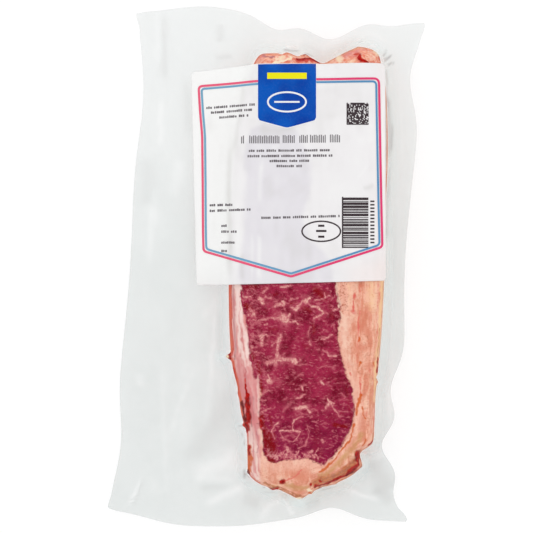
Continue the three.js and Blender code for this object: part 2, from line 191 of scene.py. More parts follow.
# Painted highlights and painted shade along the film's folds and creases: width, tone from -1 (painted shade)
# to 1 (painted highlight), and a line of points.
FILM_PAINTED_SHADING = strokes(
    (4.5, -0.3, -60, 150, -59.6, 106), (3.5, 0.25, -63, 150, -63, 116), (3, 0.3, -61.3, 98, -61.8, 68),
    (3.6, 0.26, -67, 40, -68, -2), (3, 0.16, -65.5, 46, -64, 22), (6, 0.22, -50, 64, -55, 40),
    (5, -0.15, -47, 110, -45, 74), (10, -0.12, -70, 66, -69, 34), (4, -0.25, -27, 142, -27, 129),
    (3, -0.25, -31, 121, -19, 122), (15, -0.15, -24, -66, -25, -84, -36, -101, -47, -116),
    (8, 0.4, -16, -104, -24, -114, -44, -121), (7, 0.3, -14, -112, -20, -120),
    (4, 0.25, -44, -123, -17, -124.4), (4.5, -0.16, -40, -129, -20, -127.5),
    (4.2, 0.45, -11, -127, -24, -133, -37, -139), (2, 0.22, -30.3, -20, -31.4, -48, -31.8, -76),
    (3, -0.14, -27.5, -24, -28, -54), (3, 0.18, -26.6, -15, -38, -32), (5, -0.1, -44, -60, -48, -84),
    (7, -0.2, -14, -134, -4, -139), (4, 0.35, 7, -134, 0, -141, -5, -148),
    (2.2, 0.55, 9.5, -133, 16.5, -145), (1.8, 0.5, 8.6, -132, 6.5, -139), (6, -0.2, 22, -140, 32, -136),
    (2.2, 1, 56.2, -107.2, 57.8, -109), (4, 0.3, 58, -105.5, 67, -108),
    (13, -0.26, 60, -112, 65, -121, 73, -132), (2.6, 0.4, 44, -127.6, 55, -133, 67, -136),
    (1.8, 0.35, 38, -129.2, 47, -127.4), (6, -0.22, 62, -129, 74, -138),
    (2.4, 0.2, -61, -50, -60, -90, -58, -134), (3.5, 0.3, -74, -62, -74, -70),
    (3, 0.16, -31, -40, -33, -70, -36, -96), (1.8, 0.22, -40, -56, -52, -84, -58, -104),
    (6, 0.12, -46, -50, -48, -110), (1.3, 0.75, -73.5, -124, -80, -140),
    (1.2, -0.35, -71.8, -124, -78, -140), (3, 0.15, -68, -122, -62, -134), (3, 0.15, 68.9, -64, 72, -90),
    (1.4, 0.3, 65.5, -66, 65.8, -92), (1.2, -0.5, 69.8, 116, 69.9, 92),
    (3.4, -0.5, 70, 104, 70.6, 84, 71.6, 70, 71.4, 58), (2.6, -0.4, 71.4, 62, 70.8, 48, 70, 34, 69.6, 10),
    (1, -0.35, 72.6, 84, 73.2, 66), (1.1, -1, 68, 118.6, 73.5, 123.6), (1.1, -0.9, 70.3, 116.8, 75, 119),
    (1.1, -0.7, 9, 126, 14, 125.4, 20, 126), (0.9, -0.8, 67.6, 121.4, 70.4, 126.4),
    (1, -0.6, 53, 129.4, 57, 131.4), (1.2, 0.7, 52, 131.4, 55.6, 132.6), (1, -0.5, 22, 124.6, 27, 122.6),
    (1.2, 0.6, 10.6, 127.6, 17.6, 127.4), (1.6, 0.5, 16, 122.5, 22, 122), (1.8, 0.5, 60, 128.6, 64, 128.2),
    (1.6, 0.7, 66.5, 121.5, 68, 119), (0.9, -0.6, -11.5, 116.6, -8.4, 117),
    (0.8, -0.7, -16.6, -94, -13.8, -92.2), (1, -0.7, -14, -96, -12.4, -104),
    (1.3, -0.6, -13.4, -117, -12.6, -124), (1, -0.6, -13, -120, -9.6, -123.4),
    (1.2, -0.7, -2, -128, -1, -129.4), (0.9, -0.35, 31, -130.2, 44, -127), (1, -0.3, -3, -131.5, 6, -131.6),
    (1.3, 0.9, 64, -62, 63.4, -66), (1, -0.4, -19.3, -63, -18, -70), (1, 0.4, 55.8, -112, 57.2, -117),
    (1.4, 0.3, 70.5, 20, 69.8, -8), (5, 0.18, 72, -12, 72, -60, 71, -92),
    (8, 0.25, 33, 126, 46, 131, 60, 134, 70, 128), (6, 0.2, -12, 124, 8, 131, 24, 129),
)

# Surface drawing of the meat: each stroke is a width, a strength and a line of points.
MARBLING = strokes(
    (1.2, 0.8, 8, -12.5, 13.5, -10.8), (1, 0.8, -1.8, -15.5, 0.5, -12.5),
    (1.3, 0.8, -14.5, -17.6, -9, -17.2), (1, 0.7, -4.5, -18.8, 2.5, -17.8),
    (3, 0.9, -2.4, -20.6, -2.2, -19.4, -3.6, -18.6), (1.4, 0.7, -2, -20, 0, -17.6),
    (1.8, 0.85, 5, -22.7, 9, -22.3, 10.5, -20.5, 9, -20.3), (0.8, 0.6, 4, -20.3, 6, -20.2),
    (1.1, 0.85, 14.5, -23.5, 17, -25.3, 18.5, -23.5), (1.2, 1, 17, -25, 20.5, -21, 22, -19.8, 25, -18.3),
    (2.8, 1, 22, -20.5, 22.8, -20), (0.8, 0.8, 22.5, -20, 25.5, -22.8), (0.7, 0.5, 21.5, -18.5, 20, -15.5),
    (1, 0.7, 14, -19, 18, -18.3), (1.3, 0.9, 26, -23.3, 29.5, -23.2, 31.8, -25, 32.8, -26.8),
    (1.1, 0.85, 32.8, -26.8, 31, -28, 27.5, -29.8), (0.8, 0.6, 32.8, -26.8, 35.8, -27.5),
    (0.9, 0.75, 28.5, -19.2, 33, -18.8, 36, -17), (0.9, 0.6, 33.3, -15.5, 34.3, -18),
    (0.8, 0.5, 30, -10.5, 31.5, -12), (1.2, 0.8, 38.3, -25.6, 41.5, -24.3),
    (0.9, 0.5, 37.3, -19.3, 39, -16.8), (1.3, 0.9, 8.5, -28.7, 12.5, -28.4, 13.5, -27.2),
    (4.4, 0.95, 9.4, -29.8, 11.4, -31.4), (1.2, 0.7, -5, -30.9, 4, -30.1, 8.5, -29.3),
    (1, 0.85, 12, -32, 16.5, -31.8, 18.5, -34.3), (1.4, 0.6, 10, -24.5, 10.2, -25),
    (2, 0.85, -8.4, -28.8, -7, -27.6), (0.7, 0.5, 18, -29.8, 21, -30.8), (1.3, 0.5, -3.6, -34, -3.4, -33.6),
    (1.4, 0.8, -4.5, -40, 1, -39.9), (2, 0.85, -2.9, -40.3, -2.5, -43, -2.5, -46),
    (1.9, 0.8, 8.3, -40, 7.2, -42.6, 6.8, -46, 6.2, -51), (1, 0.7, 3, -44.9, 5.8, -43.3),
    (2.4, 0.75, 0.5, -55.2, 4, -54.2, 8, -53.2, 11, -53.8, 17, -55), (0.9, 0.5, 0.5, -52, 3.5, -55),
    (3, 1, 15.5, -54.6, 17, -55), (1, 0.6, 17, -55, 20, -53.8),
    (2.2, 0.7, 6.6, -51.5, 6, -53.5, 5.5, -56.5), (0.8, 0.5, 17, -56.2, 23, -57.2),
    (0.8, 0.55, 25.2, -35, 24, -38, 24.3, -40), (1.2, 0.6, 24.8, -43.2, 25, -45.3),
    (1.1, 0.8, 32, -42, 35.5, -41, 38, -38.8), (0.8, 0.4, 34.5, -36.9, 36, -38),
    (1, 0.7, 32.3, -48.6, 34.5, -49.8, 36, -51.7, 40.5, -51.2), (1, 0.55, 29, -48.3, 30.3, -47.8),
    (0.9, 0.5, 31.2, -52.2, 32, -53.5), (0.8, 0.5, 29, -58.3, 34, -57.3, 39, -58.2),
    (1.2, 0.6, -8.2, -41, -7.4, -40), (0.9, 0.5, -9.8, -47.4, -8, -48.6), (3.6, 1, 0.8, -66, 2.6, -66.4),
    (1.8, 0.9, 1.2, -63, 1.8, -65), (0.7, 0.5, 4.5, -65, 7.5, -64), (1.2, 0.6, 2.6, -62, 3.6, -61.6),
    (0.8, 0.5, 16.5, -64, 19, -62.5, 21.5, -63), (1, 0.85, 20.4, -69.3, 21.5, -71.5),
    (0.7, 0.5, 20.5, -69, 23.5, -68.4), (1.1, 0.85, 31.3, -66, 33.2, -67.4),
    (0.7, 0.4, 39, -68.2, 43, -67.9), (0.9, 0.6, -2.5, -73.6, 0.5, -71.6, 3, -71.5),
    (0.9, 0.5, -3.5, -74.5, -1, -71), (1, 0.8, 17.6, -76.2, 20, -75.4, 22.5, -73.8),
    (0.9, 0.8, -2.2, -83.7, 0.5, -82, 2.3, -81.2), (2.2, 0.42, 9.5, -84, 11.3, -81.5, 13.5, -78.8),
    (1.3, 0.4, 10.4, -76.6, 11.6, -76.2), (2, 1, 17.3, -81.6, 20, -81.9, 23, -81.4),
    (1.2, 0.9, 22.6, -81.6, 25.3, -84.4), (0.7, 0.45, 18.6, -83.2, 21, -85, 24, -85.4),
    (0.9, 0.8, 15.4, -94.7, 15, -91, 16, -88.6, 18.4, -87.1, 21, -86.9),
    (1.1, 1, 7.6, -95.4, 10, -94.7, 13, -94.5, 16.4, -95, 19.6, -96),
    (2.4, 0.35, 11, -98.6, 13, -97.4, 15.6, -98.4),
    (0.8, 0.6, 7.8, -95.8, 8.8, -98, 10.4, -100, 12.6, -101.3, 15, -101.2, 17.4, -99.6, 19, -97, 19.7, -96),
    (0.8, 0.55, 23.6, -92, 24.4, -95.5, 24, -99.5, 22.6, -102.4, 20.4, -104, 18.2, -104.5),
    (1, 0.8, 2.3, -95, 3.2, -93.4, 5, -91, 6.8, -89.8), (0.8, 0.55, 3, -94.5, 2.8, -97, 4.6, -99.4),
    (1.5, 0.85, 11.6, -104.4, 12.8, -107), (0.8, 0.55, 12.5, -105, 9, -107.5),
    (0.8, 0.55, 12.8, -106, 15.2, -108.6), (0.7, 0.4, 7.8, -106, 9.6, -110),
    (1, 0.75, 23.8, -107.6, 24.6, -109.9), (0.6, 0.4, 24, -108, 27.5, -107.7),
    (1.5, 0.6, 31.8, -100.6, 32.8, -101.6), (0.9, 0.85, 34.8, -76, 36.5, -78.4, 38.6, -79.1),
    (1.2, 0.85, 36.1, -78.4, 34.5, -82), (0.9, 0.7, 36.5, -78.6, 39.5, -83, 42.2, -86),
    (0.8, 0.5, 39.5, -83.3, 47, -83.8), (0.9, 0.45, 42.8, -73, 45.6, -75.6),
    (0.7, 0.35, 42, -76.6, 48, -77.4), (0.7, 0.35, 42, -79.6, 48, -80.2), (1, 0.6, 1, -108.2, 2.6, -107),
    (0.9, 0.55, 5, -110, 6.2, -112.2), (0.9, 0.55, 10.3, -110, 11, -112.4),
)
# Pale silverskin and fat, partly painted glare along the left side; the stroke from (-5.3, -110) to (-5,
# -123.4) is a painted glare streak.
PALE_AND_GLARE = strokes(
    (2.3, 1, -17.1, -7, -16.9, -22, -16.1, -34, -15, -46, -13.4, -53), (1.8, 0.8, -15.7, -8, -15.3, -13),
    (1.8, 0.95, -16.3, -18, -15, -27), (2.6, 0.95, -14.3, -28, -12.4, -42, -11.3, -52),
    (1.2, 0.7, -13.4, -50, -11.2, -62), (1.2, 0.6, -11.2, -53, -8.8, -63), (1, 0.6, -16, -52, -14.4, -64),
    (1.7, 0.85, -5.2, -64, -4.5, -76, -4.4, -86), (1.4, 0.6, -8.6, -64, -7.4, -72),
    (1.4, 0.95, -12.4, -86.4, -12.3, -88), (1, 0.5, -15, -68, -13.8, -78),
    (3.4, 1, -8.5, -92.6, -9.3, -98, -8.8, -105), (1.9, 0.7, -6.8, -94, -6.4, -101, -6.2, -107),
    (2, 0.9, -4.2, -94, -3.3, -98, -3.3, -103), (2.6, 0.75, -9.4, -66, -7.4, -74, -6, -84),
    (1.2, 0.7, -14.4, -58, -13.4, -66), (1.6, 1, -12.2, -86, -12.2, -88.6),
    (1.4, 0.8, -5.3, -110, -5, -123.4), (1.2, 0.5, -7.6, -110, -6.4, -120),
    (1.2, 0.85, 40.6, -9.5, 40.9, -16.5), (1.8, 0.8, 42, -18.6, 42.3, -23),
    (1.6, 0.7, 42.2, -25.6, 43.4, -29), (1.2, 0.7, 42, -32, 41.7, -37), (1.9, 0.6, 51.6, -10, 52.6, -21),
    (6.5, 0.7, 45.5, -30, 45.5, -45), (4, 0.5, 47.5, -46, 49.6, -64), (1.3, 0.6, 61.4, -82, 60.6, -93),
    (2, 0.5, 50.4, -66, 50.6, -88), (1, 0.7, 48.4, -96, 45.6, -102.6, 41.4, -107.4, 36, -112),
    (1.2, 0.4, 12, -128.6, 18, -131), (1, 0.4, 34, -117.5, 40, -112.8, 44.6, -107.4),
    (1.2, 0.6, 59, -100.5, 57, -104.6), (1.8, 0.9, 8, 118.5, 14, 121), (1.3, 0.9, 5.2, 116, 6, 121.5),
    (3, 0.6, 40, 118, 44, 122), (3.6, 0.7, 59, 119, 62, 122), (2, 0.5, 63.5, 118, 64.5, 123),
    (1.6, 0.5, 9, 123.6, 14, 123.4),
)
PINK = strokes(
    (4.4, 0.4, -14, -44, -12.6, -56), (4.6, 0.75, -16, -52, -14.2, -66), (3.4, 0.75, -15, -64, -14.4, -78),
    (4.2, 0.7, -10.8, -58, -8.6, -68), (3.2, 0.7, -7.2, -68, -6, -90), (0.8, 0.75, -15.9, -20, -15, -42),
    (0.6, 0.5, -13.6, -26, -12.4, -40), (2.4, 0.6, -4.6, -98, -4, -104), (2.4, 0.4, -5.5, -106, -4.5, -112),
    (7, 0.3, 0, -114, 6, -118), (2.4, 0.5, 48, -25, 52, -27), (4.4, 0.8, 46, 121.8, 52, 124.4),
    (2.4, 0.8, 54.8, 126, 60, 125), (5, 0.7, -6, 118.6, -2, 121.6), (1.8, 0.6, 8.6, 122, 13, 123),
    (1.2, 0.7, 16, 120.6, 24, 121.6), (2, 0.4, -12.8, -60, -11.6, -66), (2.4, 0.8, -13, -68, -12.6, -76),
    (3.6, 0.8, -9.6, -68, -8.4, -78, -7.4, -92), (2.4, 0.7, -4, -104, -3.6, -110),
    (1.4, 0.7, -9.4, -107, -8.6, -118), (1.6, 0.8, -17.2, -62, -15.6, -72),
)
ROSE = strokes(
    (1.2, 1, 50.3, -16.5, 50.3, -20.5, 49.9, -25.2), (2.8, 0.5, 50.3, -15.5, 49.6, -26.5),
    (1.1, 0.6, 53.9, -10, 53.9, -22, 53.7, -29), (1.2, 0.75, 53.4, -29, 53.2, -43),
    (1.1, 0.6, 52.7, -44, 52.4, -56), (1.3, 0.7, 54.2, -64, 54.4, -74),
    (0.9, 0.6, 58, -43, 56.4, -46, 54.4, -47.6), (0.8, 0.4, 57.4, -48, 58.4, -52),
    (1.2, 0.7, 59.9, -60.2, 60, -61.6), (1.2, 0.5, 65, -10, 64.2, -26, 63.2, -44),
    (1, 0.7, 62.3, -80, 62.2, -99), (1.2, 0.5, 58, -70, 58.6, -92),
    (1.2, 0.7, 10.4, -123.8, 15.4, -122, 18.5, -119.4, 20.6, -118), (0.8, 0.3, 46, -37.5, 50, -38),
    (0.8, 0.4, 45.6, -53, 49.6, -54), (1.2, 0.7, 48.5, -61.4, 49, -62.2),
    (1.8, 0.8, -3.9, -125.2, -3.4, -125.6), (1.8, 0.35, 24, -117, 30, -118),
    (1.2, 0.35, 60.5, -22, 59.4, -36), (2, 0.3, -1.6, -116, 0.6, -121), (1.6, 0.3, 57, -52, 57.6, -64),
)
AMBER = strokes(
    (1.9, 1, -23.4, -51.2, -22.6, -52), (2.6, 1, -9.8, -105, -9.6, -118.6),
    (1.2, 0.9, -23.8, -51.4, -22.6, -54.4), (1.7, 0.95, 54.4, -74, 53.8, -78, 52.6, -81.4, 52, -85.6),
    (1.4, 0.9, 55.4, -81, 56, -84.6, 57, -88.2),
    (1.3, 0.9, 50.2, -91, 49.4, -96.2, 48.8, -99.4, 47.4, -102),
    (1.3, 0.9, 47.2, -101.4, 42.8, -107, 38, -113.2, 34.6, -116.2, 30.8, -118),
    (1.2, 0.9, 57.4, -100.4, 55.4, -103), (1.3, 0.8, 53.5, -40.6, 53.3, -42.8),
    (0.9, 0.5, 59.6, -41, 60.2, -43), (1.3, 0.75, 62, -55.6, 62.2, -57.4),
    (2.6, 0.4, 55.6, -11, 56.8, -16.4), (1, 0.4, 60.6, -16, 61.4, -18), (2.6, 0.5, 34, 118.4, 38, 119.4),
    (1.3, 0.6, 61.2, 122.9, 62.6, 122.4), (1.5, 0.9, 24.6, -131.6, 26.2, -131.8),
    (1.4, 0.45, 52, -107.4, 49.4, -111.6), (1.6, 0.8, 54.2, -55, 53.6, -58),
)
BLOOD = strokes(
    (1.1, 1, -11.9, -68, -11.6, -74), (2.2, 1, -11.6, -74, -11.1, -80), (3.4, 1, -10.9, -80, -10.6, -90),
    (3.6, 1, -11.6, -89, -11.4, -94.6), (2, 0.6, -3.8, -87.6, -2.6, -90, -3, -93.4),
    (1.2, 0.8, -21.6, -54.4, -20.8, -56), (1.4, 1, -21.4, -50.4, -20.8, -53),
    (2.8, 0.9, 8.6, -124.2, 9.8, -124.4), (2, 0.9, 25.2, -125.6, 25.6, -126.2),
    (1.6, 0.8, 31.2, -124, 31.6, -124.4), (2.4, 0.8, 44.8, -120.6, 45.4, -121.2),
    (1.4, 0.9, -9.9, -104.4, -9.8, -109), (3.6, 1, 52.6, -109, 53, -115),
    (4.2, 1, 52.4, -115.4, 48.8, -119), (2.4, 0.95, 48.4, -119.6, 39.4, -124),
    (2.4, 0.9, 39.4, -124.4, 28.4, -127.8), (1.8, 0.95, 1.2, -129.4, 6.4, -129.2),
    (1.2, 0.8, 64.4, -53, 64.1, -61.4), (1.2, 0.7, 64.6, -65.8, 64.8, -67.4),
    (1.8, 0.8, 61.8, -101.2, 59.6, -103.8), (1.8, 1, 18.6, 119.6, 23, 120.2, 28, 120.4),
    (1.8, 1, 27.6, 120.2, 31.2, 118.4), (1.6, 1, 22.6, 123, 24.6, 123.2),
    (1.7, 1, 54, 122.6, 53.6, 120.6, 55, 118.8, 57.6, 117.8),
)
RED = strokes(
    (2.4, 1, -22.6, -53.6, -20.6, -57.4), (2.2, 0.95, -20.4, -57, -18.6, -65),
    (1.4, 0.6, -17.8, -68, -16.8, -75), (2.4, 1, -23, -50.6, -21.6, -52.6),
    (0.8, 0.8, -12, -65, -11.8, -70), (2, 1, -13.4, -91.4, -12, -93.4), (1, 0.5, -12.4, -60, -12, -64),
    (2, 0.8, 53.6, -109.6, 54, -112, 52.4, -114.4), (1.8, 0.6, 59.4, -103.4, 62, -101.4),
    (1.6, 0.6, -4.4, -125.6, -3.4, -125.4), (3, 0.85, 18, 118.8, 23, 119.2, 29, 119.6),
    (1.4, 0.5, 10, 118.2, 16, 119.4), (1.6, 0.9, 24, 123, 29, 120.4),
    (3.4, 0.6, 53.4, 123, 53, 119.6, 57, 117.6), (1.1, 0.9, 50, 122.6, 52.6, 122.8),
    (0.9, 0.6, 45, 123, 49, 125), (1.4, 0.5, 57, 126.6, 61, 125.4), (1, 0.7, 66.2, 122.4, 66.4, 118),
    (0.6, 0.5, 47, 121, 48, 118),
)
DARK = strokes(
    (1.9, 0.95, -14.4, -79, -13.5, -84, -12.4, -90), (1.6, 0.9, -10.3, -118.6, -9.6, -121.2),
    (0.9, 0.6, -18.6, -51, -18.4, -53.6), (2, 0.9, 50.4, -119.4, 47.4, -121),
    (0.9, 0.5, -16.6, -69.6, -16.2, -72), (1.2, 0.6, -9, -86, -8.6, -92.6),
    (0.9, 0.5, -5.6, -90.6, -4.6, -91), (1.5, 0.7, 38, -125.8, 30, -128.4),
    (1.2, 0.7, 53.8, -112.6, 53.6, -116), (1, 0.6, 9, -124.4, 9.4, -124.6),
    (4.4, 0.5, 0.4, -100, 2.6, -108), (2, 0.4, 2, -110, 3.6, -112),
)
# Dark red patches of the lean; the stroke from (-12, -13) to (-6, -11) along the label's lower edge is
# painted shadow under it.
CRIMSON_AND_SHADOW = strokes(
    (3.6, 1, -3.2, -86.4, -2.2, -90, -2.6, -94.6), (7, 1, 0.2, -98, 2.2, -107),
    (3.2, 1, 1.6, -110, 3.6, -113), (2.6, 0.7, -5, -56, -4, -62), (3, 0.8, -3.6, -66, -2.8, -72),
    (2.6, 0.7, -8, -51, -7, -54), (3, 0.8, -2.4, -84, -2, -92), (4.6, 0.75, 28, -13.5, 33, -17.5),
    (2.2, 0.9, 39.5, -91.6, 46, -92), (3.2, 0.8, -12, -22.5, -8, -26.4), (2.2, 0.45, -10.6, -30, -11, -36),
    (3.4, 0.6, 22, -24, 25, -26), (3.2, 0.6, -12, -13, -6, -11), (2.2, 0.5, 26.5, -33, 27.5, -38),
    (1.8, 0.55, 14, -21, 17, -21), (1.6, 0.5, 6, -15.5, 4, -16.5), (2.4, 0.7, -2.2, -86.5, -1, -97),
    (2.4, 0.5, 2, -86, 3, -92), (6, 0.3, 28, -96, 30, -110), (2.2, 0.4, 46, -70, 49, -88),
    (4, 0.25, 20, -66, 10, -68), (5, 0.3, 44, -84, 36, -88), (2, 0.45, 20, -45, 24, -47),
    (1.6, 0.5, -1, -25.5, 0, -26), (1.2, 0.5, -1.5, -11.5, -2, -16), (2, 0.5, -9.4, -46, -8, -52),
    (3, 0.3, 34, -58, 40, -66), (2.4, 0.4, 36, -20, 38, -30), (2.2, 0.5, 2, -36, 6, -36),
)
MAUVE = strokes(
    (2.4, 0.85, -7.9, -75.5, -7.5, -82, -7.8, -88.4), (0.6, 0.6, -8, -92.6, -7.6, -106),
    (0.8, 0.6, -5.5, -95, -4.9, -107), (0.8, 0.6, -9.6, -107, -5, -107.4),
    (0.7, 0.5, -8.6, -109, -8.2, -114), (0.6, 0.5, -6.2, -108, -6, -114), (3, 0.3, 6, -88, 9, -84, 11, -80),
    (1, 0.6, -12.6, -58, -11.4, -68), (1.6, 1, -0.9, 122.3, 2, 121.2, 4.9, 121.6),
    (2, 0.9, -9.8, -76, -8.6, -82, -8, -87),
)
TAN = strokes(
    (3.8, 0.85, 55, -97, 52, -101.4, 48, -107, 42.6, -112.8, 36.4, -118, 31, -121),
    (3.8, 0.85, 12, -126.4, 18, -128.4, 22.6, -128), (3.4, 0.7, 33, 118.6, 40, 120),
    (3.4, 0.4, 59, -64, 60.4, -80), (2.6, 0.5, 6, -125, 12, -127),
)
GOLD = strokes(
    (2.4, 0.95, 66.8, -8, 66, -26, 64.8, -44, 63.3, -60, 62.4, -78), (7, 0.6, 61, -8, 60, -24),
    (2.6, 0.45, 47.4, -10, 48, -20), (1.6, 0.6, 45.6, -108.4, 38, -115.6), (1.2, 0.7, 4, -126.4, 12, -129),
    (2.6, 0.45, 58, 122, 64, 121),
)
# Brown lines of the fat; the two wide strokes along the foot's rim are painted shade of its rounding.
BROWN_AND_SHADE = strokes(
    (6, 0.8, 53, -109.6, 49, -115, 43, -119.4, 33, -123.8, 28, -126),
    (2.6, 0.8, 52, -113, 46, -119, 36, -123.4), (1, 0.6, 61.4, -96, 61, -104),
    (1.2, 0.7, 31.6, 118, 35.6, 118.6),
    (1.1, 0.95, -1, -125.2, 4, -127.2, 12, -130.2, 17.6, -132.8, 22.4, -133),
    (0.9, 0.7, 65.2, -36, 64.6, -46, 64.2, -56), (0.9, 0.7, 14.5, -135, 21, -135),
    (1.1, 0.7, 58.2, -40.2, 58.5, -41.8), (1.1, 0.7, 54, -57, 53.4, -59.4),
    (0.9, 0.7, 54.7, -54.4, 54.6, -55.8), (0.9, 0.6, 53.6, -61, 53.8, -62.6),
    (0.8, 0.4, 53.2, -46, 53, -52), (0.8, 0.4, 47, -63, 46, -61),
)
DOTS = strokes(
    (4.6, 1, 43.2, -9, 44.2, -17, 43.8, -25), (7, 0.35, 57, -43, 57, -60), (6, 0.3, 58, -64, 58, -92),
)
# Cream scraps along the lower rim; the strokes on the top lobes and the dot on the left bump at (-22.6, -52)
# are painted glints.
CREAM_AND_GLINT = strokes(
    (2.8, 0.7, 6.2, 119.6, 10.6, 121.2), (1.4, 1, 2, 117, 8, 118.2, 14.4, 120.6),
    (3.6, 0.75, 42, 118.4, 42.8, 120.8), (3.2, 0.55, 47, 118.4, 51.6, 119),
    (2.4, 0.7, 62.8, 124.4, 65, 121.6), (1.6, 0.8, -8, 116.4, 0, 116.8),
    (0.8, 0.6, 15.4, 120.9, 20, 121.7, 25.6, 122), (2.2, 0.45, 58, 121.6, 59.4, 119.4),
    (1.5, 1, -22.6, -52, -22.2, -52.4), (2, 1, 24, -129.2, 25.8, -130), (1.4, 1, 16.4, -134.2, 20, -134.4),
    (0.7, 0.5, 2.6, -126, 11, -128.8), (0.8, 0.4, 50.6, -110.4, 49.6, -111.6),
)
# Random flecks of the lean, in all, and more in its lower hem and on its left side
FLECKS = {"all": 560, "hem": 110, "left": 130}
# A point and its copy under the label add up to this
MARBLING_TURN = (27, -6)
# Each mask's strokes and how soft their sides are
PAINT = {
    "pale": (PALE_AND_GLARE, 1.2), "pink": (PINK, 1.3), "rose": (ROSE, 1.0), "amber": (AMBER, 1.1),
    "blood": (BLOOD, 0.9), "red": (RED, 0.9), "dark": (DARK, 1.0), "crimson_and_shadow": (CRIMSON_AND_SHADOW, 1.1),
    "mauve": (MAUVE, 1.2), "tan": (TAN, 1.1), "gold": (GOLD, 1.1), "brown_and_shade": (BROWN_AND_SHADE, 1.0),
    "dots": (DOTS, 1.0), "cream": (CREAM_AND_GLINT, 0.9),
}
LEAN_SPREAD = strokes(
    (2.2, 1, -10.2, -44, -8.4, -56, -6.4, -64), (2.2, 1, -14.5, -6, -14.3, -20, -12.4, -27),
)

# Label: the darker patch where lean shows through, painted light and painted shade bands along its bends,
# creases and glints, and the printed lines.
LILAC_PATCH = [
    (-13.5, -12), (-13, 20), (-12, 50), (-13, 62), (-7, 80), (4, 83), (15, 81), (19, 76), (22.5, 66),
    (24.6, 58), (24.6, 40), (22, 34), (21, 26), (25, 16), (35, 6), (36, -12),
]
LABEL_PAINTED_SHADING = strokes(
    (3, -0.5, -21, -10, -21.4, 30, -20.6, 76), (4, 0.35, -17, -8, -16.6, 66), (2, -0.4, -14, -9, -14, 8),
    (2.4, -0.35, -12, 112, -15, 88, -20, 64), (5.5, -0.45, -7, 80, 6, 77.4, 18, 81),
    (2.6, 0.45, -2.8, 62, -3.4, 36), (2.6, 0.65, -4.4, 20, -4.4, -10), (1.4, 0.35, -8.6, 20, -8.4, -10),
    (12, -0.3, 34, 105, 38, 84), (10, -0.12, 44, 108, 60, 88), (4.5, 0.3, 54, 78, 53, 56),
    (3, 0.3, 60, 84, 60, 70), (2.2, -0.4, 55, 44.5, 63, 47.5), (1.6, 0.25, 52, 50, 60, 60),
    (6, 0.4, -42, 111, -30, 109), (3, 0.3, 2, 68, 8, 69), (7, -0.35, 10, -9, 30, -6),
    (7, -0.2, -2, 52, 6, 40), (8, -0.2, 13, 52, 21, 42), (12, -0.25, 8, 16, 26, 4),
    (2.6, 0.35, -42, 78, -41, 30), (5, 0.12, -35, 60, -34, 20), (2, 0.6, 67.2, 112, 67.4, 20),
    (8, 0.1, 40, 56, 42, 34),
)
BORDER = [
    (-37.0, 104.9), (-39.5, 104.8), (-38.7, 91), (-37.4, 76), (-37.1, 50), (-36.9, 20), (-36.6, 8.9),
    (14.2, -5.8), (66.9, 11.3), (66.2, 40), (65.8, 60), (65.3, 86), (64.9, 108.5), (62.0, 108.4),
]
# Inset and width of the border's two lines
OUTER_LINE = (0.0, 1.3)
INNER_LINE = (1.65, 1.15)
BORDER_START = (-4.9, 107.0)
BORDER_END = (28.7, 108.0)
TAB = {"west": -4.9, "east": 28.6, "top": 116.9, "shoulder": 84.6, "apex": 80.0, "radius": 1.4, "rim": 0.5}
TAB_GRID = (44, 42)  # mesh points up and across
# A bar is its west and south end, width and height; an oval is its middle, half-width and half-height.
TAB_BAR = (0.4, 108.2, 22.8, 3.6)
TAB_OVAL = (11.8, 95.0, 11.0, 5.6)
TAB_DASH = (4.5, 94.5, 14.6, 1.0)
STAMP_OVAL = (31.6, 20.3, 11.1, 5.8)
STAMP_DASHES = ((22.9, 3.6), (19.9, 6.0), (16.6, 3.6))  # south end and width
STAMP_DASH_HEIGHT = 1.2
BAR_FIELD = (43.6, 10.7, 15.2, 29.6)
SIDE_BAR = (43.5, 10.6, 0.8, 29.6)
TICK = (59.9, 13.4, 2.4, 0.9)
TICK_COUNT = 13
TICK_PITCH = 1.98
SQUARES = (46.2, 81.8, 12.7, 23)  # west and south end, side, and cells in a side
INK_CELL = 0.9  # spacing of a bar's mesh points
LINE_STEP = 0.8  # and of a line's
CORNER_STEPS = 7
OVAL_STEPS = 60
PRINT_SLOPE = 0.012  # rise of the label's top edge and title for each millimetre east
PRINT_REACH = (-38.0, 64.0)  # west and east end of the change of colour in a printed line
BORDER_LIFT = 0.16
BLOCK_SIZE = (0.9, 1.3, 0.25)  # width, height and gap
# Rows of plain blocks: west, east, height of the row's foot at its west and east end
SMALL_ROWS = [
    (-35.0, -5.6, 91.5, 92.9), (-32.3, -7.6, 88.7, 89.9), (-27.4, -10.0, 85.8, 86.6),
    (-10.2, 36.6, 66.1, 66.5), (-10.9, 38.0, 63.0, 63.4), (1.8, 25.4, 60.2, 60.4), (5.8, 20.6, 57.3, 57.3),
    (-33.0, -17.6, 34.9, 35.0), (-33.0, -9.0, 31.6, 32.3), (-3.0, 42.6, 27.4, 28.5),
    (-26.2, -22.8, 22.9, 22.9), (-26.2, -16.4, 19.5, 19.5), (-26.2, -17.8, 13.2, 13.2),
    (-26.2, -22.6, 8.3, 8.3),
]
# The title's words from west to east, as rows of upright strokes
TITLE = {"foot": 71.2, "height": 4.5, "width": 0.5, "pitch": 1.05, "drop": 0.5}
TITLE_WORDS = [(-14.6, -12.0), (-9.9, 8.0), (9.4, 17.2), (19.0, 23.8), (25.2, 34.8), (36.6, 42.4)]


def smoothstep(value, low, high):
    share = np.clip((value - low) / (high - low), 0.0, 1.0)
    return share * share * (3.0 - 2.0 * share)


def lerp(a, b, share):
    return a + (b - a) * share


def bell(distance, half_width):
    return np.exp(-((distance / half_width) ** 2))


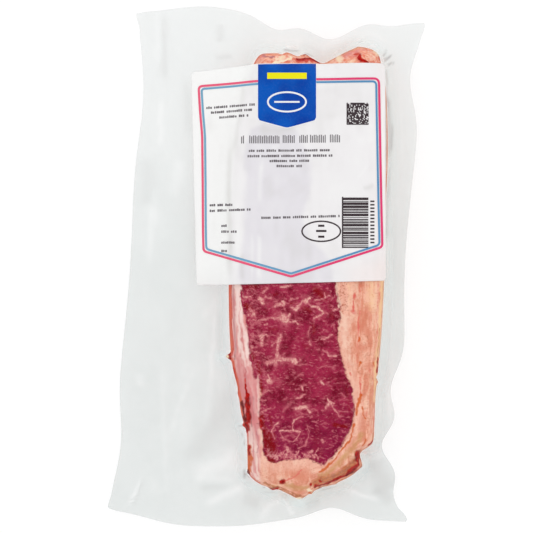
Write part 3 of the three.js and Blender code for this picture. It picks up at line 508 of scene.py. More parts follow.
def noise(x, y, size, seed):
    """Smooth noise from -1 to 1 with bumps about size millimetres across."""
    table = np.random.default_rng(seed).uniform(-1.0, 1.0, (NOISE_CELLS, NOISE_CELLS))
    gx = x / size + NOISE_ORIGIN[0]
    gy = y / size + NOISE_ORIGIN[1]
    ix = np.floor(gx).astype(int)
    iy = np.floor(gy).astype(int)
    fx = smoothstep(gx - ix, 0.0, 1.0)
    fy = smoothstep(gy - iy, 0.0, 1.0)
    west, east = ix % NOISE_CELLS, (ix + 1) % NOISE_CELLS
    south, north = iy % NOISE_CELLS, (iy + 1) % NOISE_CELLS
    low = lerp(table[west, south], table[east, south], fx)
    high = lerp(table[west, north], table[east, north], fx)
    return lerp(low, high, fy)


def layered_noise(x, y, size, seed):
    total = np.zeros_like(x)
    for layer in range(NOISE_LAYERS):
        total += noise(x, y, size / 2**layer, seed + layer) / 2**layer
    return total


def closed_curve(points, steps):
    """Points at equal spacing on a centripetal curve through a closed loop of points."""
    p = np.array(points, float)
    fine = []
    for i in range(len(p)):
        p0, p1, p2, p3 = (p[(i + k - 1) % len(p)] for k in range(4))
        d0, d1, d2 = (math.sqrt(np.linalg.norm(b - a)) for a, b in ((p0, p1), (p1, p2), (p2, p3)))
        t1 = ((p1 - p0) / d0 - (p2 - p0) / (d0 + d1) + (p2 - p1) / d1) * d1
        t2 = ((p2 - p1) / d1 - (p3 - p1) / (d1 + d2) + (p3 - p2) / d2) * d1
        t = np.linspace(0.0, 1.0, CURVE_STEPS, endpoint=False)[:, None]
        cubic = 2 * p1 - 2 * p2 + t1 + t2
        square = -3 * p1 + 3 * p2 - 2 * t1 - t2
        fine.append(p1 + t1 * t + square * t**2 + cubic * t**3)
    return even_spacing(np.concatenate(fine), steps)


def even_spacing(loop, steps):
    closed = np.vstack([loop, loop[:1]])
    along = np.concatenate([[0.0], np.cumsum(np.linalg.norm(np.diff(closed, axis=0), axis=1))])
    at = np.linspace(0.0, along[-1], steps, endpoint=False)
    return np.column_stack([np.interp(at, along, closed[:, k]) for k in range(2)])


def wavy_edge(start, end, waves, steps):
    a = np.array(start)
    along = np.array(end) - a
    outward = np.array([along[1], -along[0]]) / np.linalg.norm(along)
    t = np.arange(steps) / steps
    fade = smoothstep(np.minimum(t, 1 - t), 0.0, CORNER_FADE)
    reach = sum(out * bell(t - at, half_width) for at, out, half_width in waves)
    return a + along * t[:, None] + outward * (reach * fade)[:, None]


def pouch_outline(steps):
    """The pouch's edge, anticlockwise from its bottom left; its long sides take twice as many steps."""
    sides = (
        ("bottom", "bottom_left", "bottom_right", steps),
        ("right", "bottom_right", "top_right", steps * 2),
        ("top", "top_right", "top_left", steps),
        ("left", "top_left", "bottom_left", steps * 2),
    )
    edges = [
        wavy_edge(POUCH_CORNERS[start], POUCH_CORNERS[end], EDGE_WAVES[side], count)
        for side, start, end, count in sides
    ]
    return np.vstack(edges)


def gaps(loop):
    """Distance from each point of a loop to the next."""
    return np.linalg.norm(np.roll(loop, -1, axis=0) - loop, axis=1)


def unit(vectors):
    return vectors / np.linalg.norm(vectors, axis=1)[:, None]


def nearest_on_segment(x, y, start, end):
    """Share along a segment of the place nearest to each point, and the distance to it."""
    ax, ay = start
    dx = end[0] - ax
    dy = end[1] - ay
    length = max(dx * dx + dy * dy, 1e-9)
    share = np.clip(((x - ax) * dx + (y - ay) * dy) / length, 0.0, 1.0)
    return share, np.hypot(x - ax - share * dx, y - ay - share * dy)


def nearest_on_line(x, y, line):
    """Share along a line of points of the place nearest to each point, and the distance to it."""
    lengths = [math.dist(a, b) for a, b in zip(line, line[1:])]
    share = np.zeros(np.shape(x))
    nearest = np.full(np.shape(x), 1e9)
    before = 0.0
    for a, b, length in zip(line, line[1:], lengths):
        along, distance = nearest_on_segment(x, y, a, b)
        share = np.where(distance < nearest, (before + along * length) / sum(lengths), share)
        nearest = np.minimum(nearest, distance)
        before += length
    return share, nearest


def painted_shading_at(x, y, tones):
    """Sum of painted light and painted shade lines, each of which fades towards its ends."""
    total = np.zeros_like(x)
    for line, width, tone in tones:
        share, distance = nearest_on_line(x, y, line)
        ends = smoothstep(np.minimum(share, 1 - share), -0.02, 0.2)
        total += tone * ends * bell(distance, 0.55 * width)
    return np.clip(total, -1, 1)


def depth_inside(x, y, loop):
    """Distance from each point to a closed loop, positive inside it."""
    flat_x = np.ravel(x)
    flat_y = np.ravel(y)
    nearest = np.full(flat_x.shape, 1e9)
    inside = np.zeros(flat_x.shape, bool)
    ends = np.roll(loop, -1, axis=0)
    for a, b in zip(loop, ends):
        nearest = np.minimum(nearest, nearest_on_segment(flat_x, flat_y, a, b)[1])
        if a[1] == b[1]:
            continue
        crosses = (a[1] > flat_y) != (b[1] > flat_y)
        inside ^= crosses & (flat_x < a[0] + (flat_y - a[1]) * (b[0] - a[0]) / (b[1] - a[1]))
    return np.where(inside, nearest, -nearest).reshape(np.shape(x))


def cross(a, b):
    return a[..., 0] * b[..., 1] - a[..., 1] * b[..., 0]


def entry_share(outer, inner, loop):
    """Share of the way from each outer point to its inner one where it first meets a closed loop."""
    way = (inner - outer)[:, None, :]
    edge = (np.roll(loop, -1, axis=0) - loop)[None, :, :]
    start = loop[None, :, :] - outer[:, None, :]
    across = cross(way, edge)
    across = np.where(np.abs(across) < 1e-9, 1e-9, across)
    t = cross(start, edge) / across
    u = cross(start, way) / across
    met = (u >= 0) & (u <= 1) & (t > 0) & (t < 1)
    return np.where(met, t, 1.0).min(axis=1)


smooth_steak = closed_curve(STEAK_OUTLINE, LOOP_STEPS["steak"])
lean_loop = closed_curve(LEAN_OUTLINE, LOOP_STEPS["lean"])


def make_spokes(spacing_at):
    """Lines from the pouch's edge to the steak's spine, and where they meet the rim and the lean."""
    outer = pouch_outline(OUTLINE_STEPS)
    share, _ = nearest_on_segment(outer[:, 0], outer[:, 1], SPINE[0], SPINE[1])
    spine = np.array(SPINE[0]) + share[:, None] * (np.array(SPINE[1]) - np.array(SPINE[0]))
    rim = outer + entry_share(outer, spine, smooth_steak)[:, None] * (spine - outer)
    inward = unit(spine - rim)
    for (x, y), reach, half_width in RIM_BITS:
        rim = rim - inward * (reach * bell(np.hypot(rim[:, 0] - x, rim[:, 1] - y), half_width))[:, None]
    step = np.maximum(gaps(rim) / spacing_at(rim), gaps(outer) / EDGE_SPACING)
    along = np.cumsum(step)
    chosen = np.unique(np.searchsorted(along, np.arange(0.5, along[-1], 1.0)))
    outer, rim, spine = outer[chosen], rim[chosen], spine[chosen]
    seam = rim + entry_share(rim, spine, lean_loop)[:, None] * (spine - rim)
    return {"outer": outer, "rim": rim, "seam": seam, "spine": spine}


def meat_spacing(rim):
    """Spacing of the meat's spokes along the rim: coarse where the label hides it."""
    y = rim[:, 1]
    low, high = LABEL_SPAN
    return np.where(y < low, BARE_SPACING, np.where(y > high, TOP_SPACING, HIDDEN_SPACING))


def film_spacing(rim):
    return np.full(len(rim), FILM_SPACING)


meat_spokes = make_spokes(meat_spacing)
film_spokes = make_spokes(film_spacing)
steak_rim = even_spacing(film_spokes["rim"], LOOP_STEPS["rim"])


def around_steak(sizes, x, y):
    """A size that differs by side of the steak and where the label bridges the left flank."""
    side = lerp(sizes["left"], sizes["right"], smoothstep(x, 0, 45))
    at_top = smoothstep(y, 96, 120)
    at_bottom = 1 - smoothstep(y, -122, -98)
    plain = side * (1 - at_top - at_bottom) + sizes["top"] * at_top + sizes["bottom"] * at_bottom
    under_label = smoothstep(y, -26, 2) * (1 - smoothstep(y, 104, 124)) * (1 - smoothstep(x, -12, 18))
    return lerp(plain, sizes["label"], under_label)


def lumps_at(lumps, x, y):
    return sum(rise * bell(np.hypot(x - lx, y - ly), reach) for lx, ly, rise, reach in lumps)


def margin_height(x, y):
    """Height of the film margin above the table, with its lifts, folds and a slow ripple."""
    height = MARGIN_REST + lumps_at(MARGIN_LIFTS, x, y) + 0.5 * np.sin(x / 9 + y / 40)
    for ax, ay, bx, by, rise, half_width in FOLDS:
        share, distance = nearest_on_segment(x, y, (ax, ay), (bx, by))
        height = height + rise * (1 - 0.6 * share) * bell(distance, half_width)
    return height


def face_height(x, y, lean_depth):
    """Height of the cut face: a dome with lumps, the sunken lean and the groove along the fat."""
    dome = -DOME["drop"] * ((x - DOME["middle"]) / DOME["reach"]) ** 2
    sunken = LEAN_SINK * smoothstep(lean_depth, -1.5, 1.5)
    low, high, fade = GROOVE["from"], GROOVE["to"], GROOVE["fade"]
    along = smoothstep(y, low, low + fade) * (1 - smoothstep(y, high - fade, high))
    groove = GROOVE["depth"] * along * bell(x - GROOVE["x"] - 1.5 * np.sin(y / 30), GROOVE["half_width"])
    return STEAK_HEIGHT + dome - sunken - groove + lumps_at(FACE_LUMPS, x, y)


def top_height(x, y, depth, lean_depth):
    """Height of the upper film: cut face, shoulder, web and margin."""
    collar = around_steak(COLLAR, x, y)
    up = np.clip(depth / around_steak(SHOULDER, x, y), 0, 1)
    on_steak = collar + (face_height(x, y, lean_depth) - collar) * (1 - (1 - up) ** SHOULDER_POWER)
    out = np.clip(-depth / around_steak(WEB, x, y), 0, 1)
    beside = lerp(collar, margin_height(x, y) + PLY_GAP / 2, 1 - (1 - out) ** 2)
    return np.where(depth >= 0, on_steak, beside)


def web_underside(x, y, depth):
    """Height of the lower film outside the steak."""
    out = np.clip(-depth / around_steak(WEB, x, y), 0, 1)
    return lerp(BASE_EDGE, margin_height(x, y) - PLY_GAP / 2, 1 - (1 - out) ** 2)


def relief(x, y, depth, lean_depth):
    """Fine relief of the cut face, which the film over it follows."""
    in_lean = smoothstep(lean_depth, -0.8, 0.8)
    lean_relief = 0.28 * layered_noise(x, y, 7.0, 11)
    fat_relief = 0.42 * layered_noise(x, y, 9.0, 21) + 0.12 * noise(x, y, 2.6, 24)
    strip = (1 - smoothstep(x, -8, 0)) * smoothstep(y, -100, -80)
    fibres = 0.3 * noise(x + 0.16 * y, y / 12, 1.5, 31) * strip
    seam = -0.35 * bell(lean_depth, 0.9)
    fade = smoothstep(depth, 0.0, 3.0)
    return fade * (lerp(fat_relief + fibres, lean_relief, in_lean) + seam)


def upper_film(x, y):
    """Depth of each place inside the steak, and the plain height of the upper film there."""
    depth = depth_inside(x, y, steak_rim)
    lean_depth = depth_inside(x, y, lean_loop)
    return depth, top_height(x, y, depth, lean_depth) + relief(x, y, depth, lean_depth)


def crease_height(x, y):
    """Height of the film's fine creases, each of which fades towards its ends."""
    height = np.zeros_like(x)
    for line, rise, half_width in CREASES:
        share, distance = nearest_on_line(x, y, line)
        ends = np.sin(math.pi * np.clip(share, 0.02, 0.98)) ** 0.6
        height += CREASE_SHARE * rise * ends * bell(distance, half_width * 0.8)
    return height


def film_ripple(x, y, depth):
    """What the film beside the steak adds to its plain height: creases and a slow unevenness."""
    return smoothstep(-depth, 0.0, 4.0) * (crease_height(x, y) + 0.18 * layered_noise(x, y, 14.0, 71))


# Meshes

def make_mesh(name, points, faces, attributes=None):
    """A smooth mesh from points in millimetres, with a number at each point for every attribute."""
    mesh = bpy.data.meshes.new(name)
    mesh.from_pydata((points * MM).tolist(), [], faces)
    mesh.polygons.foreach_set("use_smooth", [True] * len(mesh.polygons))
    for key, values in (attributes or {}).items():
        layer = mesh.attributes.new(key, "FLOAT", "POINT")
        layer.data.foreach_set("value", np.asarray(values, np.float32))
    mesh.update()
    piece = bpy.data.objects.new(name, mesh)
    bpy.context.scene.collection.objects.link(piece)
    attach(piece, "root")
    return piece


def ring_faces(rings, count):
    """Quads between successive rings of count points, wound so that rings going inwards face up."""
    r = np.arange(rings - 1)[:, None] * count
    i = np.arange(count)[None, :]
    j = (i + 1) % count
    quads = np.stack([r + i, r + j, r + count + j, r + count + i], axis=-1)
    return quads.reshape(-1, 4).tolist()


def zipped_ring(ring, first):
    """Upward triangles that close a thin ring by joining its right side to its left one."""
    count = len(ring)
    low = int(np.argmin(ring[:, 1]))
    high = int(np.argmax(ring[:, 1]))
    right = [(low + k) % count for k in range((high - low) % count + 1)]
    left = [(low - k) % count for k in range((low - high) % count + 1)]
    faces = []
    i = j = 0
    while i + j < len(right) + len(left) - 3:
        left_done = j == len(left) - 1
        right_open = i < len(right) - 1
        step_right = left_done or (right_open and ring[right[i + 1], 1] <= ring[left[j + 1], 1])
        ahead = right[i + 1] if step_right else left[j + 1]
        if len({right[i], ahead, left[j]}) == 3:
            faces.append([first + right[i], first + ahead, first + left[j]])
        i += step_right
        j += not step_right
    return faces


def between(start, end, shares):
    """Rings of points at the given shares of the way from one ring to another."""
    return start[None] + shares[:, None, None] * (end - start)[None]


def stroke_mask(x, y, lines, soft):
    """Strength of strokes at each point; soft is 0 for sharp sides and 1 for a fade from the middle."""
    mask = np.zeros_like(x)
    breadth = 1 + STROKE_SWELL * noise(x, y, 1.7, 37) + 0.5 * STROKE_SWELL * noise(x, y, 4.1, 38)
    for points, width, strength in lines:
        half_width = 0.5 * width * breadth
        for a, b in zip(points, points[1:]):
            _, distance = nearest_on_segment(x, y, a, b)
            mask = np.maximum(mask, strength * smoothstep(1 - distance / half_width, -soft, soft))
    return mask


def random_flecks():
    """Short pale flecks over the lean, with more along its left side and upright ones in its lower hem."""
    flecks = []
    draw = np.random.default_rng(FLECK_SEED)
    while len(flecks) < FLECKS["all"]:
        x = draw.uniform(-14, 50)
        y = draw.uniform(-113, 104)
        if y > 0 and draw.uniform() < 0.8:
            continue
        if x > 0 and draw.uniform() < 0.4:
            continue
        turn = draw.normal(0.25 if x < 30 else -0.1, 0.55)
        length = draw.uniform(0.4, 2.2)
        bend = turn + draw.normal(0, 0.7)
        middle = (x + length * math.cos(turn), y + length * math.sin(turn))
        end = (middle[0] + 0.7 * length * math.cos(bend), middle[1] + 0.7 * length * math.sin(bend))
        flecks.append(([(x, y), middle, end], draw.uniform(0.5, 1.0), draw.uniform(0.12, 0.45)))
    for _ in range(FLECKS["hem"]):
        x = draw.uniform(0, 30)
        y = -112.5 + 4.5 * draw.uniform() ** 1.6 + 0.12 * abs(x - 14)
        turn = math.pi / 2 + draw.normal(0, 0.7)
        length = draw.uniform(0.6, 2.0)
        end = (x + length * math.cos(turn), y + length * math.sin(turn))
        flecks.append(([(x, y), end], draw.uniform(0.6, 1.1), draw.uniform(0.35, 0.9)))
    for _ in range(FLECKS["left"]):
        y = draw.uniform(-96, -8)
        x = -12.5 - 0.09 * (y + 8) + abs(draw.normal(0, 3.0))
        length = draw.uniform(0.4, 1.6)
        end = (x + length, y + draw.normal(0.1, 0.5))
        flecks.append(([(x, y), end], draw.uniform(0.6, 1.1), draw.uniform(0.3, 0.75)))
    return flecks


def marbling_mask(x, y, wx, wy):
    """Veins, flecks and the soft halo round the veins; a turned copy of the veins serves under the label."""
    turn_x, turn_y = MARBLING_TURN
    hidden = []
    for line, width, strength in MARBLING:
        hidden.append(([(turn_x - a, turn_y - b) for a, b in line], width, strength))
    veins = MARBLING + hidden
    wide = [(line, width * 2.6 + 0.6, 0.5 * strength) for line, width, strength in veins]
    halo = stroke_mask(wx, wy, wide, 1.0) * (0.55 + 0.45 * noise(x, y, 1.3, 67))
    marble = np.maximum(stroke_mask(wx, wy, veins, 0.6), stroke_mask(wx, wy, random_flecks(), 0.8))
    return np.maximum(marble, halo)


def meat_paint(x, y, z, below):
    """Masks from which the meat's material mixes its colours, some partly painted shade, glare and glints;
    below is 0 on top and 1 at the base.
    """
    depth = depth_inside(x, y, steak_rim)
    lean_depth = depth_inside(x, y, lean_loop)
    wx = x + 0.5 * layered_noise(x, y, 3.6, 41) + 0.25 * noise(x, y, 1.2, 47)
    wy = y + 0.6 * layered_noise(x, y, 3.6, 51) + 0.30 * noise(x, y, 1.2, 57)
    steep = smoothstep(20 - z, 0, 7) * smoothstep(x, -14, -4) * (1 - smoothstep(depth, 2, 5))
    wx += 2.4 * steep * noise(z, 0.5 * y, 4.5, 151)
    wy += 2.4 * steep * noise(z, 0.5 * x, 4.5, 153)
    ragged = lean_depth + 0.7 * layered_noise(x, y, 3.0, 61) + 0.35 * noise(x, y, 1.1, 65) + 0.2
    in_lean = np.maximum(smoothstep(ragged, -1.6, 1.3), stroke_mask(wx, wy, LEAN_SPREAD, 1.0))
    along = y + x * smoothstep(-y, 100, 115)
    fibre_depth = depth + 14 * below + 0.4 * noise(x, y, 5.0, 133)
    fibres = 0.5 + 0.5 * layered_noise(fibre_depth, along / 9, 1.3, 131)
    edge = depth + 0.4 * noise(x, y, 3.0, 141)
    west = 1 - smoothstep(x, -16, -4)
    west_rim = west * smoothstep(y, -56, -50) * (1 - smoothstep(y, 60, 90))
    wall = smoothstep(below, 0.0, 0.35) * (1 - smoothstep(depth, 0.5, 3.0))
    bare = west * bell(y + 98, 8)
    masks = {}
    for name, (lines, soft) in PAINT.items():
        masks[name] = stroke_mask(wx, wy, lines, soft) * (1 - 0.9 * wall)
    masks["red"] = np.maximum(masks["red"], 0.75 * west_rim * bell(edge - 1.9, 0.5))
    masks["mauve"] = np.maximum(masks["mauve"], 0.6 * west_rim * bell(edge - 3.3, 1.25))
    streaked = (1 - in_lean) * np.maximum(smoothstep(y, -112, -100), smoothstep(x, 22, 30))
    masks |= {
        "lean": in_lean,
        "marble": marbling_mask(x, y, wx, wy) * smoothstep(ragged, -1.2, 0.4),
        "fibre": lerp(0.5, np.clip(fibres, 0, 1), np.maximum(streaked, wall)),
        # rim: the edge band, partly the meat's own orange-red and tan edge and partly painted shade towards
        # the edge
        "rim": (1 - smoothstep(edge - 0.9 * west, 0.4, 1.3)) * (1 - 0.6 * wall) * (1 - 0.85 * bare),
        "strip": (1 - smoothstep(x, -5, -2.5)) * (1 - smoothstep(y, 90, 108)),
        "left": 1 - smoothstep(x, -12, 6),
        "lower": smoothstep(-y, 48, 66) * (1 - smoothstep(-y, 92, 110)),
        "top": smoothstep(y, 108, 116),
        "near_lean": smoothstep(lean_depth, -9, -2),
        "dusk": smoothstep(-y, 70, 104) * in_lean,
    }
    return masks


def meat_piece(name, outer, inner, top_shares, low_shares, wall):
    """A closed solid between two loops, under the film; with wall 'rim' it has the steak's flank."""
    count = len(outer)
    top = between(outer, inner, top_shares)
    low = between(outer, inner, low_shares)[::-1]
    z_top = upper_film(top[..., 0], top[..., 1])[1] - MEAT_UNDER_FILM
    low_x = low[..., 0]
    low_y = low[..., 1]
    depth_low = depth_inside(low_x, low_y, steak_rim)
    z_low = MEAT_BASE + BASE_EDGE * (1 - smoothstep(depth_low, -0.5, BASE_EDGE * 1.3)) * (wall == "rim")
    rings = [np.dstack([low_x, low_y, z_low])]
    rises = FLANK_RISES if wall == "rim" else ()
    for rise in rises:
        z = lerp(z_low[-1], z_top[0], rise)
        rings.append(np.dstack([outer[None, :, 0], outer[None, :, 1], z[None]]))
    below = [1.0] * len(low) + [1.0 - rise for rise in rises] + [0.0] * len(top)
    rings.append(np.dstack([top[..., 0], top[..., 1], z_top]))
    points = np.concatenate(rings)
    faces = ring_faces(len(points), count)
    last = (len(points) - 1) * count
    if name == "lean_meat":
        faces += [face[::-1] for face in zipped_ring(points[0], 0)]
        faces += zipped_ring(points[-1], last)
    else:
        faces += [[last + i, last + (i + 1) % count, (i + 1) % count, i] for i in range(count)]
    flat = points.reshape(-1, 3)
    return make_mesh(name, flat, faces, meat_paint(*flat.T, np.repeat(below, count)))


rim = meat_spokes["rim"]
seam = meat_spokes["seam"]
spine = meat_spokes["spine"]
meat_rim = rim + MEAT_INSET * unit(spine - rim)
fat_tops = np.linspace(0.0, 1.0, RINGS["fat_top"]) ** 1.15
fat_lows = np.linspace(0.0, 1.0, RINGS["fat_low"])
fat_piece = meat_piece("fat_cap_meat", meat_rim, seam, fat_tops, fat_lows, "rim")
lean_tops = np.linspace(0.0, NEAR_SPINE, RINGS["lean_top"])
lean_lows = np.linspace(0.0, NEAR_SPINE, RINGS["lean_low"])
lean_piece = meat_piece("lean_meat", seam, spine, lean_tops, lean_lows, "seam")
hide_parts("fat_cap")
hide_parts("lean")


def ply_rings(beside_steps, over_shares):
    """Rings of one ply of film, from the pouch's edge to the steak's rim and on to its spine."""
    rim_line = film_spokes["rim"]
    beside = between(rim_line, film_spokes["outer"] * FILM_SHRINK, np.linspace(1.0, 0.0, beside_steps))
    over = between(rim_line, film_spokes["spine"], over_shares)
    rings = np.concatenate([beside, over])
    return rings[..., 0], rings[..., 1]


def film_piece():
    """The whole envelope of film: upper ply over the meat, lower ply under it, joined at the pouch's edge."""
    over = np.linspace(0.0, NEAR_SPINE, FILM_RINGS["over"])[1:] ** 1.2
    ux, uy = ply_rings(FILM_RINGS["beside"], over)
    depth, z_upper = upper_film(ux, uy)
    z_upper += FILM_LIFT + film_ripple(ux, uy, depth)
    under = np.linspace(0.0, NEAR_SPINE, FILM_RINGS["under"])[1:]
    lx, ly = ply_rings(FILM_RINGS["low_beside"], under)
    depth_low = depth_inside(lx, ly, steak_rim)
    under_meat = BASE_EDGE * (1 - smoothstep(depth_low, 0, 3.6))
    z_lower = np.where(depth_low < 0, web_underside(lx, ly, depth_low), under_meat)
    z_lower += film_ripple(lx, ly, depth_low) + FILM_LIFT
    rings = np.concatenate([np.dstack([lx, ly, z_lower])[::-1], np.dstack([ux, uy, z_upper])])
    points = rings.reshape(-1, 3)
    faces = ring_faces(len(rings), rings.shape[1])
    faces += [face[::-1] for face in zipped_ring(rings[0], 0)]
    faces += zipped_ring(rings[-1], len(points) - rings.shape[1])
    px, py, pz = points.T
    flat_depth = depth_inside(px, py, steak_rim)
    # Painted highlights and painted shade of the film's folds, kept as its tone
    tone = painted_shading_at(px + 0.6 * noise(px, py, 7, 5), py + 0.6 * noise(px, py, 7, 6), FILM_PAINTED_SHADING)
    veil_length = smoothstep(py, -10, -6) * (1 - smoothstep(py, 112, 117))
    return make_mesh("pouch_film", points, faces, {
        "margin": smoothstep(-flat_depth, -0.5, 0.5),
        "veil": smoothstep(px, 67.8, 68.6) * veil_length * bell(px - 69, 3) * smoothstep(pz, 19, 24),
        "web": 1 - smoothstep(-flat_depth, 1.0, 9.0),
        "tone": tone,
        # painted fall-off of the light: 0 at the top of the pack, 1 at the bottom
        "painted_falloff": smoothstep(-py, -150, 150),
    })


film = film_piece()
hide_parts("pouch")


# Label

field_x = np.arange(-56.0, 82.0, FIELD_CELL)
field_y = np.arange(-24.0, 130.0, FIELD_CELL)


def running(field, reach, combine):
    """Combines each cell with its neighbours within reach cells, first along and then across."""
    for axis in (0, 1):
        shifted = [np.roll(field, shift, axis) for shift in range(-reach, reach + 1)]
        field = combine(np.array(shifted))
    return field


def label_field():
    """Height of the film under the label, smoothed as stiff paper would bridge it."""
    gx, gy = np.meshgrid(field_x, field_y, indexing="ij")
    depth, film_z = upper_film(gx, gy)
    film_z += smoothstep(-depth, 0.0, 4.0) * crease_height(gx, gy)
    highest = running(film_z, FIELD_RIDGE, lambda stack: stack.max(axis=0))
    weights = np.exp(-0.5 * (np.arange(-FIELD_BLUR, FIELD_BLUR + 1) / FIELD_BLUR_WIDTH) ** 2)
    weights /= weights.sum()
    smooth = running(highest, FIELD_BLUR, lambda stack: np.tensordot(weights, stack, axes=1))
    return np.maximum(smooth, film_z + LABEL_CLEARANCE)


label_under = label_field()


def label_height(x, y):
    """Height of the label's lower face, from the stiffened film under it, with its own small buckles."""
    fx = np.clip((x - field_x[0]) / FIELD_CELL, 0, len(field_x) - 1.001)
    fy = np.clip((y - field_y[0]) / FIELD_CELL, 0, len(field_y) - 1.001)
    ix = fx.astype(int)
    iy = fy.astype(int)
    low = lerp(label_under[ix, iy], label_under[ix + 1, iy], fx - ix)
    high = lerp(label_under[ix, iy + 1], label_under[ix + 1, iy + 1], fx - ix)
    buckles = 0.28 * bell(x + 21.0 + 0.8 * np.sin(y / 17), 1.5)
    buckles += 0.22 * bell(x + 1.5 + 0.7 * np.sin(y / 13), 1.6)
    buckles *= 0.6 + 0.4 * noise(x, y, 22, 81)
    wrinkle = 0.2 * layered_noise(x, y, 12, 91) * smoothstep(x, 36, 60) * bell(y - 48, 16)
    waves = 0.12 * noise(x, y / 4, 9, 95) + 0.06 * noise(x, y, 5, 97)
    return lerp(low, high, fy - iy) + LABEL_LIFT + buckles + wrinkle + waves


def label_place(u, v):
    """A point of the label from its shares across and up, with rounded corners."""
    a, b, c, d = (np.array(corner) for corner in LABEL_CORNERS)
    low = a + u[..., None] * (b - a)
    high = d + u[..., None] * (c - d)
    place = low + v[..., None] * (high - low)
    at, rise = LABEL_TOP_BEND
    place[..., 1] += v * rise * np.minimum(u / at, (1 - u) / (1 - at))
    width, height = LABEL_SIZE
    from_side = np.minimum(u, 1 - u) * width
    from_end = np.minimum(v, 1 - v) * height
    corner_x = np.clip(LABEL_CORNER_RADIUS - from_side, 0, None)
    corner_y = np.clip(LABEL_CORNER_RADIUS - from_end, 0, None)
    reach = np.hypot(corner_x, corner_y)
    pull = np.where(reach > 1e-6, np.maximum(corner_x, corner_y) / np.maximum(reach, 1e-6), 1.0)
    inward_x = np.where(u < 0.5, 1.0, -1.0) * corner_x * (1 - pull)
    inward_y = np.where(v < 0.5, 1.0, -1.0) * corner_y * (1 - pull)
    return place + np.stack([inward_x, inward_y], axis=-1)


def grid_quads(rows, columns, start=0):
    """Faces of a grid of points that are numbered row by row."""
    i, j = np.meshgrid(np.arange(rows - 1), np.arange(columns - 1), indexing="ij")
    a = start + i * columns + j
    return np.stack([a, a + 1, a + columns + 1, a + columns], axis=-1).reshape(-1, 4)


def label_piece():
    """The paper as a closed sheet: a grid for each face and a strip of quads round its edge."""
    across, up = LABEL_GRID
    u, v = np.meshgrid(np.linspace(0, 1, across), np.linspace(0, 1, up), indexing="ij")
    place = label_place(u, v)
    x, y = place[..., 0], place[..., 1]
    z = label_height(x, y)
    low = np.dstack([x, y, z]).reshape(-1, 3)
    high = np.dstack([x, y, z + LABEL_THICKNESS]).reshape(-1, 3)
    points = np.vstack([low, high])
    layer = across * up
    bottom = grid_quads(across, up)
    top = bottom[:, [0, 3, 2, 1]] + layer
    rim_loop = [k * up for k in range(across)]
    rim_loop += [(across - 1) * up + k for k in range(1, up)]
    rim_loop += [k * up + up - 1 for k in range(across - 2, -1, -1)]
    rim_loop += [k for k in range(up - 2, 0, -1)]
    sides = [[p, q, q + layer, p + layer] for p, q in zip(rim_loop, rim_loop[1:] + rim_loop[:1])]
    faces = bottom.tolist() + top.tolist() + sides
    px, py, _ = points.T
    patch_depth = depth_inside(px, py, closed_curve(LILAC_PATCH, LOOP_STEPS["lilac"]))
    steak_depth = depth_inside(px, py, steak_rim)
    wx = px + 0.7 * noise(px, py / 2, 5, 151)
    wy = py + 0.7 * noise(px, py, 7, 152)
    cloth = 0.12 * noise(px, py / 6, 3.2, 153) + 0.1 * layered_noise(px, py, 8, 154)
    low_right = smoothstep(px, 40, 56) * (1 - smoothstep(py, -4, 10))
    return make_mesh("label_paper", points, faces, {
        "lilac": smoothstep(patch_depth + 1.0 * layered_noise(px, py, 7, 101), -2.2, 2.2),
        "over_steak": smoothstep(steak_depth, -2, 3),
        "warm": smoothstep(px, 58, 68) * 0.5 + low_right * 0.7,
        # tone: painted light and painted shade of the paper's bends, creases and glints, with a random mottle
        # of the paper
        "tone": painted_shading_at(wx, wy, LABEL_PAINTED_SHADING) + cloth,
    })


label = label_piece()
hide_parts("label")


class Ink:
    """Collects flat printed shapes and lays them on the label as one thin mesh."""

    def __init__(self, name, lift=0.08):
        self.name = name
        self.lift = lift
        self.points = []
        self.faces = []

    def grid(self, x, y):
        """Adds a sheet through a grid of places; rows run up and columns run east."""
        z = label_height(x, y) + LABEL_THICKNESS + self.lift
        start = sum(len(block) for block in self.points)
        self.points.append(np.dstack([x, y, z]).reshape(-1, 3))
        self.faces += grid_quads(*x.shape, start).tolist()

    def bar(self, west, south, width, height):
        columns = max(2, int(width / INK_CELL) + 2)
        rows = max(2, int(height / INK_CELL) + 2)
        up = np.linspace(south, south + height, rows)
        y, x = np.meshgrid(up, np.linspace(west, west + width, columns), indexing="ij")
        self.grid(x, y)

    def ribbon(self, line, width, closed=False):
        """Adds a band of even width along a line of places."""
        line = np.asarray(line, float)
        ahead = np.roll(line, -1, axis=0)
        behind = np.roll(line, 1, axis=0)
        if not closed:
            ahead[-1] = line[-1]
            behind[0] = line[0]
        tangent = unit(ahead - behind)
        side = np.column_stack([-tangent[:, 1], tangent[:, 0]]) * width / 2
        if closed:
            line = np.vstack([line, line[:1]])
            side = np.vstack([side, side[:1]])
        rows = np.stack([line - side, line + side])
        self.grid(rows[..., 0], rows[..., 1])

    def oval(self, shape, width):
        """Adds an oval line: middle, half-width and half-height in shape."""
        x, y, half_width, half_height = shape
        turn = np.linspace(0, 2 * math.pi, OVAL_STEPS, endpoint=False)
        line = np.column_stack([x + half_width * np.cos(turn), y + half_height * np.sin(turn)])
        self.ribbon(line, width, closed=True)

    def finish(self):
        piece = make_mesh(self.name, np.vstack(self.points), self.faces)
        return piece


